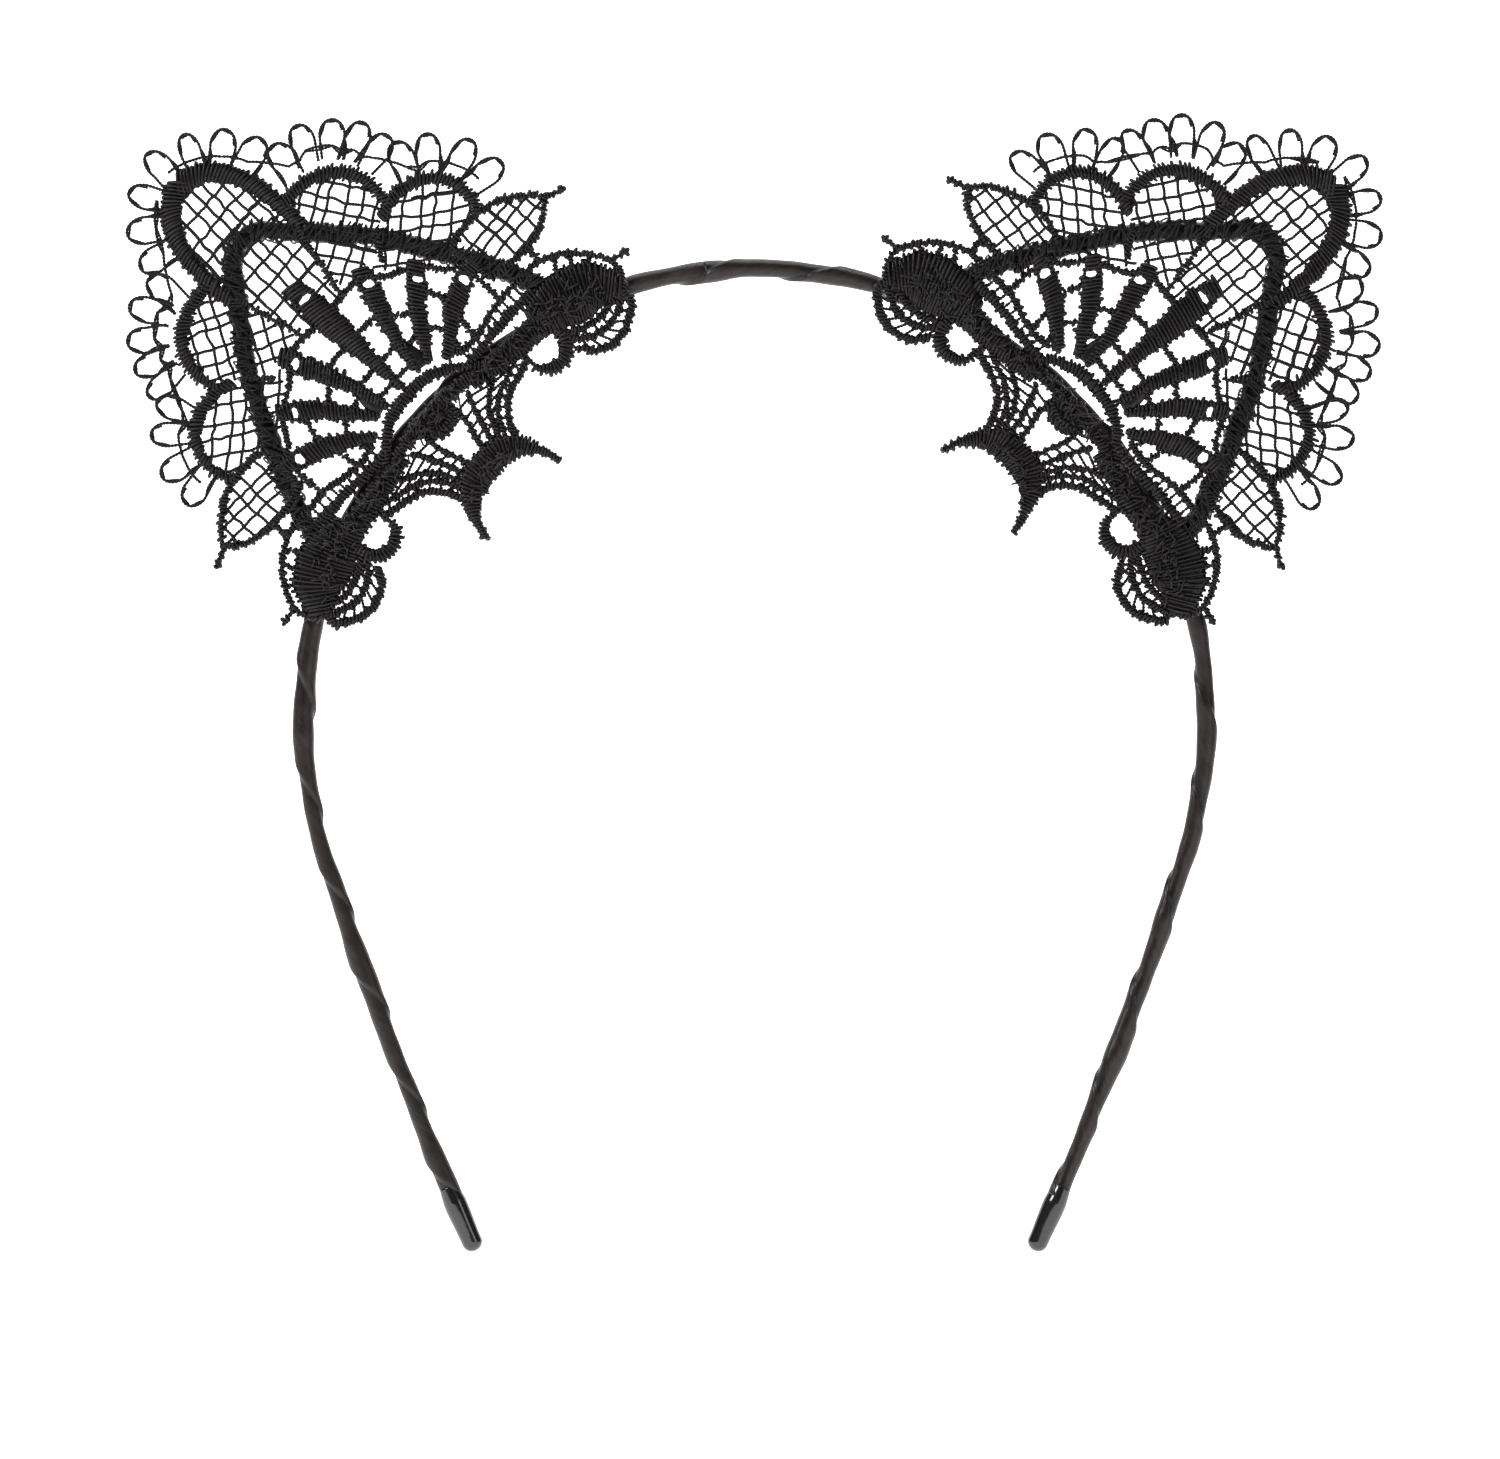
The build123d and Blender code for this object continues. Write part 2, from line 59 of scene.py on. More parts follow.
# the hoop in mm and degrees: a round arc over the head, a leg on a large arc, its flex points and the seam
hoop = {"radius": 64.6, "centreZ": -63.25, "roundDeg": 108.0, "legRadius": 573.0, "legLength": 60.0,
        "crownFlex": 12.5, "legFlex": 80.0, "seatDeg": 46.2}
laceMid = -2.4            # middle of the lace, in front of the hoop's plane
foldHeight = 2.0          # an ear bends this far above the base line of its drawing
sides = {"left": -1, "right": 1}
ears = {}
for side, sign in sides.items():
    tilt = joints[side + "_ear_tilt"]
    across = np.array(tilt["axis"], float)
    up = np.array([-across[2], 0, across[0]])
    pivot = np.array(tilt["pos_m"], float) / mm
    ears[side] = {"across": across, "up": up, "origin": pivot - foldHeight * up}


def toRow(side, points):
    # ear drawing (u, depth, v) in mm to metres in the shared frame: origin + u across + v up, depth along Y
    ear = ears[side]
    p = np.asarray(points, float)
    out = ear["origin"] + p[..., :1] * ear["across"] + p[..., 2:] * ear["up"]
    out = out + p[..., 1:2] * np.array([0, 1.0, 0])
    return out * mm


# shared ways of making surfaces
def smoothLine(points, step):
    # Catmull-Rom through the points: 0.5 (2b + (c-a)t + (2a-5b+4c-d)t^2 + (3b-a-3c+d)t^3), at even steps
    p = np.asarray(points, float)
    p = np.vstack([2 * p[0] - p[1], p, 2 * p[-1] - p[-2]])
    a, b, c, d = p[:-3, None], p[1:-2, None], p[2:-1, None], p[3:, None]
    t = np.linspace(0, 1, 24, endpoint=False)[None, :, None]
    q = 0.5 * (2 * b + (c - a) * t + (2 * a - 5 * b + 4 * c - d) * t ** 2 + (3 * b - a - 3 * c + d) * t ** 3)
    q = np.vstack([q.reshape(-1, p.shape[1]), p[-2]])
    run = np.r_[0, np.cumsum(np.linalg.norm(np.diff(q, axis=0), axis=1))]
    count = max(3, int(round(run[-1] / step)) + 1)
    s = np.linspace(0, run[-1], count)
    return np.stack([np.interp(s, run, q[:, k]) for k in range(q.shape[1])], 1), s


def unit(v):
    return v / np.maximum(np.linalg.norm(v, axis=-1, keepdims=True), 1e-9)


def tubes(paths, radius, sideCount, closed, spine, deep=None):
    # an oval carried along each path: path + r cos a N + (deep or r) sin a B,
    # where B is the part of spine that is square to the path
    paths = np.asarray(paths, float)
    if closed:
        tangent = unit(np.roll(paths, -1, 1) - np.roll(paths, 1, 1))
    else:
        tangent = unit(np.gradient(paths, axis=1))
    spine = np.broadcast_to(spine, paths.shape)
    side = unit(spine - (spine * tangent).sum(-1, keepdims=True) * tangent)
    normal = np.cross(tangent, side)
    angle = np.arange(sideCount) * 2 * math.pi / sideCount
    radius = np.broadcast_to(np.asarray(radius, float), paths.shape[:2])[..., None, None]
    if deep is None:
        deep = radius
    else:
        deep = np.broadcast_to(np.asarray(deep, float), paths.shape[:2])[..., None, None]
    verts = paths[:, :, None] + radius * np.cos(angle)[:, None] * normal[:, :, None] \
        + deep * np.sin(angle)[:, None] * side[:, :, None]
    many, rows, cols = verts.shape[:3]
    index = np.arange(many * rows * cols).reshape(many, rows, cols)
    here = index if closed else index[:, :-1]
    after = np.roll(index, -1, 1) if closed else index[:, 1:]
    quads = np.stack([here, np.roll(here, -1, 2), np.roll(after, -1, 2), after], -1).reshape(-1, 4)
    faces = [quads]
    if not closed:
        faces += [index[:, 0, ::-1], index[:, -1]]
    return verts.reshape(-1, 3), faces


def joinParts(parts):
    # many parts as one mesh: each part's faces count on from the points before it
    verts, faces, start = [], [], 0
    for v, f in parts:
        verts.append(v)
        faces += [g + start for g in f]
        start += len(v)
    return np.vstack(verts), faces


def makePiece(name, verts, faces, material):
    # a mesh object from arrays, its loops and face sizes handed over whole
    mesh = bpy.data.meshes.new(name)
    mesh.vertices.add(len(verts))
    mesh.vertices.foreach_set("co", np.ascontiguousarray(verts, np.float32).ravel())
    loops = np.concatenate([f.ravel() for f in faces])
    sizes = np.concatenate([np.full(len(f), f.shape[1]) for f in faces])
    mesh.loops.add(len(loops))
    mesh.loops.foreach_set("vertex_index", loops.astype(np.int32))
    mesh.polygons.add(len(sizes))
    mesh.polygons.foreach_set("loop_start", np.r_[0, np.cumsum(sizes)[:-1]].astype(np.int32))
    mesh.update(calc_edges=True)
    mesh.validate()
    mesh.polygons.foreach_set("use_smooth", sizes <= 4)      # flat end caps keep the rim's shading clean
    mesh.materials.append(material)
    piece = bpy.data.objects.new(name, mesh)
    bpy.context.collection.objects.link(piece)
    return piece


# materials
def linear(hexText):
    # sRGB to linear: c / 12.92 near black, ((c + 0.055) / 1.055) ^ 2.4 above
    c = np.array([int(hexText[i:i + 2], 16) / 255 for i in (1, 3, 5)])
    c = np.where(c <= 0.04045, c / 12.92, ((c + 0.055) / 1.055) ** 2.4)
    return (*c, 1.0)


def addNode(tree, kind, settings=None, links=None):
    # settings go on the node's own fields or on its inputs, links are input: (node, output)
    node = tree.nodes.new(kind)
    for key, value in (settings or {}).items():
        if isinstance(key, str) and hasattr(node, key) and key not in node.inputs:
            setattr(node, key, value)
        else:
            node.inputs[key].default_value = value
    for key, (other, output) in (links or {}).items():
        tree.links.new(other.outputs[output], node.inputs[key])
    return node


def setRamp(ramp, low, lowHex, high, highHex):
    # two stops: position and sRGB colour of each
    for stop, place, hexText in zip(ramp.color_ramp.elements, (low, high), (lowHex, highHex)):
        stop.position, stop.color = place, linear(hexText)


def startMaterial(name):
    material = bpy.data.materials.new(name)
    material.use_nodes = True
    tree = material.node_tree
    tree.nodes.clear()
    return material, tree


def finishMaterial(tree, surface):
    addNode(tree, "ShaderNodeOutputMaterial", links={"Surface": (surface, 0)})


def threadMaterial(name, dark, lit, roughness, sheen, fibreMm, bumpMm, shine):
    # lustrous black thread: fine fibres run along it; the colour runs from the dark tone to a lighter brown-grey
    # tone in random patches and on the raised fibres of the bump, partly random tone and partly painted highlight
    material, tree = startMaterial(name)
    place = addNode(tree, "ShaderNodeTexCoord")
    patch = addNode(tree, "ShaderNodeTexNoise", {"Scale": 1 / (2.6 * mm), "Detail": 3.0},
                    {"Vector": (place, "Object")})
    fibre = addNode(tree, "ShaderNodeTexNoise", {"Scale": 1 / (fibreMm * mm), "Detail": 4.0, "Roughness": 0.65},
                    {"Vector": (place, "Object")})
    toneAndHighlightMask = addNode(tree, "ShaderNodeMath", {"operation": "MULTIPLY_ADD", 1: 0.45}, {0: (patch, 0)})
    half = addNode(tree, "ShaderNodeMath", {"operation": "MULTIPLY", 1: 0.55}, {0: (fibre, 0)})
    tree.links.new(half.outputs[0], toneAndHighlightMask.inputs[2])
    # lighter where the patch and fibre noise are high: the fibre noise is also the bump's height, so raised fibres
    # carry a painted highlight
    tint = addNode(tree, "ShaderNodeValToRGB", links={0: (toneAndHighlightMask, 0)})
    setRamp(tint, 0.36, dark, 0.66, lit)
    bump = addNode(tree, "ShaderNodeBump", {"Strength": 0.55, "Distance": bumpMm * mm}, {"Height": (fibre, 0)})
    rough = addNode(tree, "ShaderNodeMapRange",
                    {"From Min": 0.3, "From Max": 0.7, "To Min": roughness - 0.08, "To Max": roughness + 0.1},
                    {"Value": (patch, 0)})
    surface = addNode(tree, "ShaderNodeBsdfPrincipled",
                      {"IOR": 1.47, "Specular IOR Level": shine, "Sheen Weight": sheen,
                       "Sheen Roughness": 0.4, "Sheen Tint": linear("#b7aaa4")},
                      {"Base Color": (tint, 0), "Normal": (bump, 0), "Roughness": (rough, 0)})
    finishMaterial(tree, surface)
    return material


# rayon embroidery thread, twisted and lustrous: soft brown-grey light on the crown of each stitch
# the second colour of each thread is its painted highlight tone, put on raised fibres and random patches
satinThread = threadMaterial("rayonSatinStitch", "#050405", "#181314", 0.32, 0.03, 0.16, 0.06, 0.3)
# the same yarn as single net threads: a little duller, as the twist breaks up its shine
netThread = threadMaterial("rayonNetYarn", "#060506", "#1a1516", 0.38, 0.03, 0.14, 0.05, 0.28)
# spun polyester sewing thread, mercerised: matt black with faint fuzz
sewingThread = threadMaterial("spunPolyesterThread", "#040404", "#121010", 0.5, 0.04, 0.12, 0.06, 0.24)


def ribbonMaterial(name, dark, lit, roughness, ribMm, sheen, glint, lapShadeMm):
    # woven acetate satin: fine weft ribs cross the band and long floats give a soft directional shine;
    # the colour carries a painted highlight tone, painted shade at the lap, and a few painted glints as light
    # specks
    material, tree = startMaterial(name)
    place = addNode(tree, "ShaderNodeUVMap", {"uv_map": "wound"})
    rib = addNode(tree, "ShaderNodeTexWave", {"wave_type": "BANDS", "bands_direction": "X",
                                              "Scale": 1 / ribMm / 6.28, "Distortion": 0.6, "Detail": 1.0},
                  {"Vector": (place, 0)})      # a wave's scale counts radians
    crease = addNode(tree, "ShaderNodeTexNoise", {"Scale": 0.55, "Detail": 5.0, "Roughness": 0.6},
                     {"Vector": (place, 0)})
    # painted glints: the peaks of this noise become light specks in the base colour
    glintSpeckNoise = addNode(tree, "ShaderNodeTexNoise", {"Scale": 2.6, "Detail": 1.0}, {"Vector": (place, 0)})
    # the crease noise, which is also the bump's height, sets the tone: darker in its hollows and lighter on its
    # ridges, painted shade and painted highlight over a random tone
    tint = addNode(tree, "ShaderNodeValToRGB", links={0: (crease, 0)})
    setRamp(tint, 0.3, dark, 0.72, lit)
    paintedGlintMask = addNode(tree, "ShaderNodeMapRange",
                     {"From Min": 0.66, "From Max": 0.74, "To Min": 0.0, "To Max": glint},
                     {"Value": (glintSpeckNoise, 0)})
    # u runs in mm from the lap across the band, and the colour is darkened towards the lap: painted shade where
    # the turn above shades the band
    parts = addNode(tree, "ShaderNodeSeparateXYZ", links={0: (place, 0)})
    shade = addNode(tree, "ShaderNodeMapRange",
                    {"From Min": 0.0, "From Max": lapShadeMm, "To Min": 0.22, "To Max": 1.0},
                    {"Value": (parts, 0)})
    shaded = addNode(tree, "ShaderNodeVectorMath", {"operation": "SCALE"},
                     {0: (tint, 0), "Scale": (shade, 0)})
    colour = addNode(tree, "ShaderNodeMix", {"data_type": "RGBA"})
    # the colour of the painted glints
    colour.inputs[7].default_value = linear("#8d8580")
    tree.links.new(paintedGlintMask.outputs[0], colour.inputs[0])
    tree.links.new(shaded.outputs[0], colour.inputs[6])
    low = addNode(tree, "ShaderNodeBump", {"Strength": 0.55, "Distance": 0.14 * mm}, {"Height": (crease, 0)})
    fine = addNode(tree, "ShaderNodeBump", {"Strength": 0.4, "Distance": 0.04 * mm},
                   {"Height": (rib, 0), "Normal": (low, 0)})
    surface = addNode(tree, "ShaderNodeBsdfPrincipled",
                      {"Roughness": roughness, "IOR": 1.48, "Specular IOR Level": 0.3, "Sheen Weight": sheen,
                       "Sheen Roughness": 0.35, "Sheen Tint": linear("#b5a79e"), "Anisotropic": 0.4},
                      {"Base Color": (colour, 2), "Normal": (fine, 0)})
    finishMaterial(tree, surface)
    return material


# per ribbon: dark tone, painted highlight tone, roughness, rib pitch, sheen, painted glint amount, and the width
# in mm over which painted lap shade fades
hoopRibbon = ribbonMaterial("acetateSatinRibbon", "#0f0c0b", "#29211e", 0.3, 0.22, 0.04, 0.0, 3.8)
earRibbon = ribbonMaterial("narrowSatinBinding", "#050405", "#161213", 0.34, 0.2, 0.02, 1.0, 0.8)


def dippedMaterial():
    # air-dried vinyl dip: wet-looking black skin with slight orange peel
    material, tree = startMaterial("dippedVinyl")
    place = addNode(tree, "ShaderNodeTexCoord")
    peel = addNode(tree, "ShaderNodeTexNoise", {"Scale": 1 / (0.9 * mm), "Detail": 2.0},
                   {"Vector": (place, "Object")})
    bump = addNode(tree, "ShaderNodeBump", {"Strength": 0.25, "Distance": 0.06 * mm}, {"Height": (peel, 0)})
    tint = addNode(tree, "ShaderNodeValToRGB", links={0: (peel, 0)})
    setRamp(tint, 0.0, "#0c0b0c", 1.0, "#191718")
    surface = addNode(tree, "ShaderNodeBsdfPrincipled",
                      {"Roughness": 0.16, "IOR": 1.5, "Coat Weight": 0.3, "Coat Roughness": 0.08},
                      {"Base Color": (tint, 0), "Normal": (bump, 0)})
    finishMaterial(tree, surface)
    return material


def wireMaterial(name, tone, roughness):
    # drawn steel wire: bright grey with fine die lines along it and thin oxide patches
    material, tree = startMaterial(name)
    place = addNode(tree, "ShaderNodeTexCoord")
    lines = addNode(tree, "ShaderNodeTexNoise", {"Scale": 1 / (0.25 * mm), "Detail": 5.0},
                    {"Vector": (place, "Object")})
    tint = addNode(tree, "ShaderNodeValToRGB", links={0: (lines, 0)})
    setRamp(tint, 0.35, "#4a4644", 0.6, tone)
    bump = addNode(tree, "ShaderNodeBump", {"Strength": 0.2, "Distance": 0.02 * mm}, {"Height": (lines, 0)})
    surface = addNode(tree, "ShaderNodeBsdfPrincipled", {"Metallic": 1.0, "Roughness": roughness},
                      {"Base Color": (tint, 0), "Normal": (bump, 0)})
    finishMaterial(tree, surface)
    return material


dippedVinyl = dippedMaterial()
springSteel = wireMaterial("drawnSpringSteel", "#8d8b88", 0.32)
softWire = wireMaterial("annealedIronWire", "#77736f", 0.45)
print("materials made")

# the lace drawing, one half of an ear, in mm (u across, v up)
satinBars = [     # kind of work, points, widths along them
    ("arch", [(7.4, 31.5), (7.5, 35), (7.2, 39.5), (6.0, 43.3), (3.5, 46.6), (0, 48.1)],
     [2.2, 2.4, 2.6, 2.8, 3.2, 3.5]),
    ("arch", [(7.8, 35.3), (11.5, 35.2), (15.2, 33.8), (17.6, 31.0), (18.4, 27.8), (18.0, 24.5)],
     [2.1, 2.2, 2.3, 2.1, 1.9]),
    ("arch", [(16, 23.6), (19, 24.3), (22.3, 23.9), (25.3, 21.9), (26.7, 19), (26.7, 16), (25.8, 14)],
     [1.8, 2.1, 2.0, 1.8]),
    ("petal", [(19.5, 13.2), (22, 14), (26, 13.9), (29.5, 12.6), (32, 10.8), (33.8, 8.6)], [1.3, 1.5, 1.5, 1.3]),
    ("petal", [(33.8, 8.4), (31.2, 6.4), (28, 5.5), (24.5, 5.5), (20.5, 6.3)], [1.3, 1.4, 1.4]),
    ("stem", [(6.8, 31.6), (5.8, 28), (5.2, 25), (4.5, 22.5), (4.1, 20.3)], [1.3, 1.2, 1.2]),
    ("brow", [(0, 3.8), (3.5, 3.5), (6, 2.4), (8, 0.9), (9.6, -0.9)], [2.2, 2.2, 2.0, 1.5]),
    ("band", [(8.2, 0.4), (13, 0.6), (18, 0.8), (22.4, 0.5)], [1.5, 1.7, 1.8, 2.2]),
    ("band", [(7.4, -1.9), (13, -2.6), (18, -3.2), (22.5, -4.0)], [2.7, 3.7, 4.2, 4.4]),
    ("leaf", [(19.5, -2.2), (23, -2.9), (26, -3.8), (29, -5.3), (31.5, -8.0)], [4.6, 8.2, 9.4, 8.2, 3.8]),
    ("ring", [(15.2, -5.3), (15.2, -7.4), (16.6, -9.0), (19, -9.2), (20.8, -7.8), (20.9, -5.8)],
     [1.2, 1.6, 2.3, 2.5, 2.4, 1.9]),
    ("ring", [(14.8, -4.7), (16.6, -4.4), (18.6, -4.3), (20.8, -5.2)], [1.2, 1.4, 1.5, 1.7]),
]
# how each kind is worked: its piece, thickness, lean of the stitches, and how much fuller than drawn
barKinds = {"arch": ("scallops", 1.4, 0.32, 1.12), "petal": ("scallops", 1.15, 0.3, 1.0),
            "stem": ("scallops", 1.15, 0.1, 1.0), "brow": ("base", 1.15, 0.1, 1.0),
            "band": ("base", 1.15, 0.1, 1.0), "leaf": ("base", 1.5, 0.1, 1.0), "ring": ("base", 1.15, 0.1, 1.0)}
cords = [         # corded outlines, points and width
    ([(9, 2.6), (12, 2.1), (15, 2.6), (18, 3.2), (21, 3.2), (25.5, 3.0), (28.3, 1.9), (30.4, 0.4), (32, -1.6),
      (33.2, -3.8), (33.6, -5.6), (32.8, -7.6), (30.8, -9.4)], 0.85),
    ([(21.2, -9.6), (22.6, -11.8), (25, -12.9), (27.5, -12.9), (29.8, -11.8), (31.3, -10.6), (31.2, -9.0)], 1.05),
    ([(21.3, -7.8), (23.6, -9.9), (26.8, -10.7), (30.2, -9.7)], 0.95),
    ([(1.3, -10.4), (2.0, -7.4), (2.8, -4.8), (2.9, -2.6)], 0.8),
    ([(2.9, -10.6), (3.9, -7.0), (5.0, -4.2), (6.0, -2.4)], 0.8),
    ([(3.9, -10.8), (5.4, -7.2), (7.6, -4.9), (9.8, -3.8)], 0.8),
    ([(4.6, -11.2), (6.2, -8.0), (8.5, -6.0), (11.4, -5.0), (13.8, -4.3)], 0.75),
    ([(5.6, -12.4), (6.9, -9.4), (8.9, -7.3), (11.6, -6.3), (15.2, -5.5)], 0.95),
    ([(0, 6.5), (3.6, 6.5)], 0.75), ([(0, 9.9), (4.2, 9.7)], 0.75), ([(0, 15.1), (6.1, 14.6)], 0.8),
    ([(1.8, 20.1), (4.4, 20.2), (8.3, 20.3)], 0.85),
    ([(4.2, 9), (7.6, 8)], 0.75), ([(5.9, 13.6), (8.4, 11.6), (10.2, 11.2)], 0.8),
    ([(8.3, 19.6), (9.8, 17.8), (12.0, 16.4), (14.0, 15.6)], 0.85),
    ([(8.4, 8.9), (10.6, 5.6)], 0.75), ([(12, 13.0), (13.2, 10.2), (13.4, 7.6)], 0.8),
    ([(14.6, 15.2), (15.9, 12.9), (17.4, 11.2), (19.2, 10.2)], 0.85),
    ([(13.2, 7.4), (12.8, 4.6), (12.4, 2.2)], 0.8), ([(18.8, 9.0), (18.9, 5.8), (18.7, 3.2)], 0.85),
    ([(26.8, 5.4), (26.7, 4.0), (26.6, 2.8)], 0.9), ([(9.8, 5.2), (9.9, 3.8), (9.6, 2.4)], 0.8),
    ([(33.6, 8.6), (35.0, 7.9), (36.2, 7.4)], 0.75), ([(33.4, -4.6), (34.6, -5.0), (35.8, -5.2)], 0.75),
    ([(31.6, -2.2), (30.2, -2.6), (28.6, -2.6)], 0.8), ([(33.2, -6.4), (31.8, -5.6), (30.4, -5.0)], 0.8),
    ([(28.4, 1.6), (27.6, 0.8), (27.0, -0.4)], 0.8), ([(29.9, 0.6), (29.6, -0.6), (28.6, -1.4)], 0.7),
    ([(20.2, 6.4), (20.0, 9.6), (19.5, 13.0)], 1.0), ([(14.4, 22.8), (12.8, 21.0), (11.4, 19.4)], 0.85),
    ([(20.9, -6.3), (23.2, -8.0), (26.8, -8.9), (30.6, -8.4)], 0.9),
]
cordWork = {"pitch": 0.56, "thick": 1.0, "thread": 0.235, "ragged": 0.08, "teeth": 0.1, "slant": 0.5}
cordFuller = 1.48         # a cord works up this much wider than its drawn width
fanAbove = 4.5            # a cord that starts above this height belongs to the fan, a lower one to the base
cordKnots = [(36.3, 7.4), (35.9, -5.2)]   # little thread knots on the two tails
rungs = {"pitch": 1.3, "fromU": 9.6, "toU": 25.0, "low": 0.9, "high": 2.7, "width": 0.55}
fanSpokes = [     # points, widths, eyelet centre, eyelet half width and half height
    ([(0, 4.8), (0, 10), (0, 15), (0, 20), (0, 24), (0, 26.4)],
     [1.3, 2.2, 3.0, 4.3, 4.5, 3.2], (0, 23.8), 1.0, 0.65),
    ([(3.4, 5.0), (4.2, 9), (5.6, 13.5), (7, 17), (8.4, 20.8)],
     [1.2, 2.2, 2.8, 3.5, 2.9], (7.8, 18.6), 0.75, 0.8),
    ([(5.2, 4.8), (7.6, 8), (10, 11.3), (12, 13.2), (14.6, 15.7)],
     [1.3, 2.4, 3.0, 3.4, 2.6], (13.0, 13.9), 0.65, 0.7),
    ([(7.5, 3.3), (10.5, 5.4), (13.5, 7.4), (16, 8.5), (19.6, 9.6)],
     [1.4, 2.4, 3.4, 3.4, 2.6], (17.3, 8.9), 0.7, 0.8),
]
spokeWork = {"fuller": 1.06, "slant": 0.22}
crescent = {"line": [(-7.7, -18.5), (-6.9, -16.0), (-5.2, -13.0), (-2.6, -11.5), (0, -11.2), (2.6, -11.5),
                     (5.2, -13.0), (6.9, -16.0), (7.7, -18.5)],
            "widths": [1.3, 1.7, 3.5, 4.9, 5.2, 4.9, 3.5, 1.7, 1.3]}
# loose threads laid over the full stitched parts: from, to, spread, how many, in half an ear
overlays = [((20, -2.0), (30, -6.8), 2.8, 64), ((0, -11.2), (4.8, -13.2), 0.8, 16),
            ((7.5, -2.0), (20, -3.0), 1.5, 40), ((0, -1.0), (5, -0.8), 1.6, 22)]
loose = {"shortest": 0.5, "longest": 1.3, "rise": 0.86, "bow": 0.14, "dive": 0.25, "thread": 0.15}
lobe = {"centre": (0, -1.2), "radius": 3.3, "rays": 34, "ply": 0.17,
        "bars": [([(-8.4, -1.2), (-4, -0.6), (0, -0.3), (4, -0.6), (8.4, -1.2)], [2.0, 2.2, 2.4, 2.2, 2.0]),
                 ([(-2.6, -2.2), (0, -3.0), (2.6, -2.2)], [1.0, 1.7, 1.0])]}
# the net's two-ply threads: off, bow and ripple are how far they stray, doubled the share that is worked twice
netWork = {"ply": 0.138, "lay": 0.8, "off": 0.12, "bow": 0.22, "ripple": 0.09, "doubled": 0.22}
edgeLoops = [(0, 51.9), (4.6, 50.3), (8.2, 47.2), (10.4, 43.4), (12.6, 39.8), (16.4, 39.4), (19.9, 36.8),
             (21.8, 33.7), (22.9, 30.5), (24.2, 27.3), (27.5, 25.2), (30.2, 21), (30.9, 16.8)]
loopHubs = {"centres": [(0, 41.0), (11.0, 29.0), (20.8, 18.4)], "reach": 10.5}   # each loop points away from one
loopSize = {"half": 1.72, "long": 2.45, "legs": 3.6, "ply": 0.132, "lay": 0.95}
# a stitch here stands for two or three of the real ones, so that it shows
stitchMm = {"pitch": 0.56, "thread": 0.24, "ragged": 0.13, "teeth": 0.11, "inset": 0.26}
padMm = {"step": 0.35, "least": 0.1, "besideEyelet": 0.15, "meet": 0.1}


def mirrorHalf(points):
    # the other half of the drawing: u becomes -u
    return [(-u, v) for u, v in points]


def alongBar(line, widths, step):
    # the middle of a worked bar, its two directions, and half its width at even steps
    centre, s = smoothLine(line, step)
    along = unit(np.gradient(centre, axis=0))
    square = np.stack([-along[:, 1], along[:, 0]], 1)
    return centre, along, square, np.interp(s / s[-1], np.linspace(0, 1, len(widths)), widths) / 2


def eyeletGap(hole, centre, along, square):
    # an eyelet across a bar: where its middle falls, and halfWide sqrt(1 - (s/halfHigh)^2) to each side of it
    place, halfWide, halfHigh = hole
    away = centre - np.array(place)
    gap = halfWide * np.sqrt(np.clip(1 - ((away * along).sum(1) / halfHigh) ** 2, 0, 1))
    return -(away * square).sum(1), gap


def deepFor(half, thick, thread):
    # a worked bar is fullest in its middle: thicker where it is wider, up to its limit
    return np.minimum(thick / 2 - thread * 0.6, 0.34 + half * 0.44)


def pads(line, widths, thick, thread, hole):
    # the laid threads under the stitches: an oval along the bar, parted in two round an eyelet
    centre, along, square, half = alongBar(line, widths, padMm["step"])
    half = np.maximum(half - thread - stitchMm["inset"] * min(1, thread / stitchMm["thread"]), padMm["least"])
    lanes = [(-half, half)]
    if hole:
        middle, gap = eyeletGap(hole, centre, along, square)
        parted = gap > 0.02
        lanes = [(-half, np.where(parted, middle - gap - padMm["besideEyelet"], middle + padMm["meet"])),
                 (np.where(parted, middle + gap + padMm["besideEyelet"], middle - padMm["meet"]), half)]
    parts = []
    for low, high in lanes:
        wide = np.maximum(high - low, 0.12) / 2
        flat = centre + ((low + high) / 2)[:, None] * square
        path = np.stack([flat[:, 0], np.full(len(flat), laceMid), flat[:, 1]], 1)
        parts.append(tubes(path[None], wide[None], 10, False, np.array([0, 1.0, 0]),
                           (deepFor(half, thick, thread) - 0.55 * thread)[None]))
    return parts


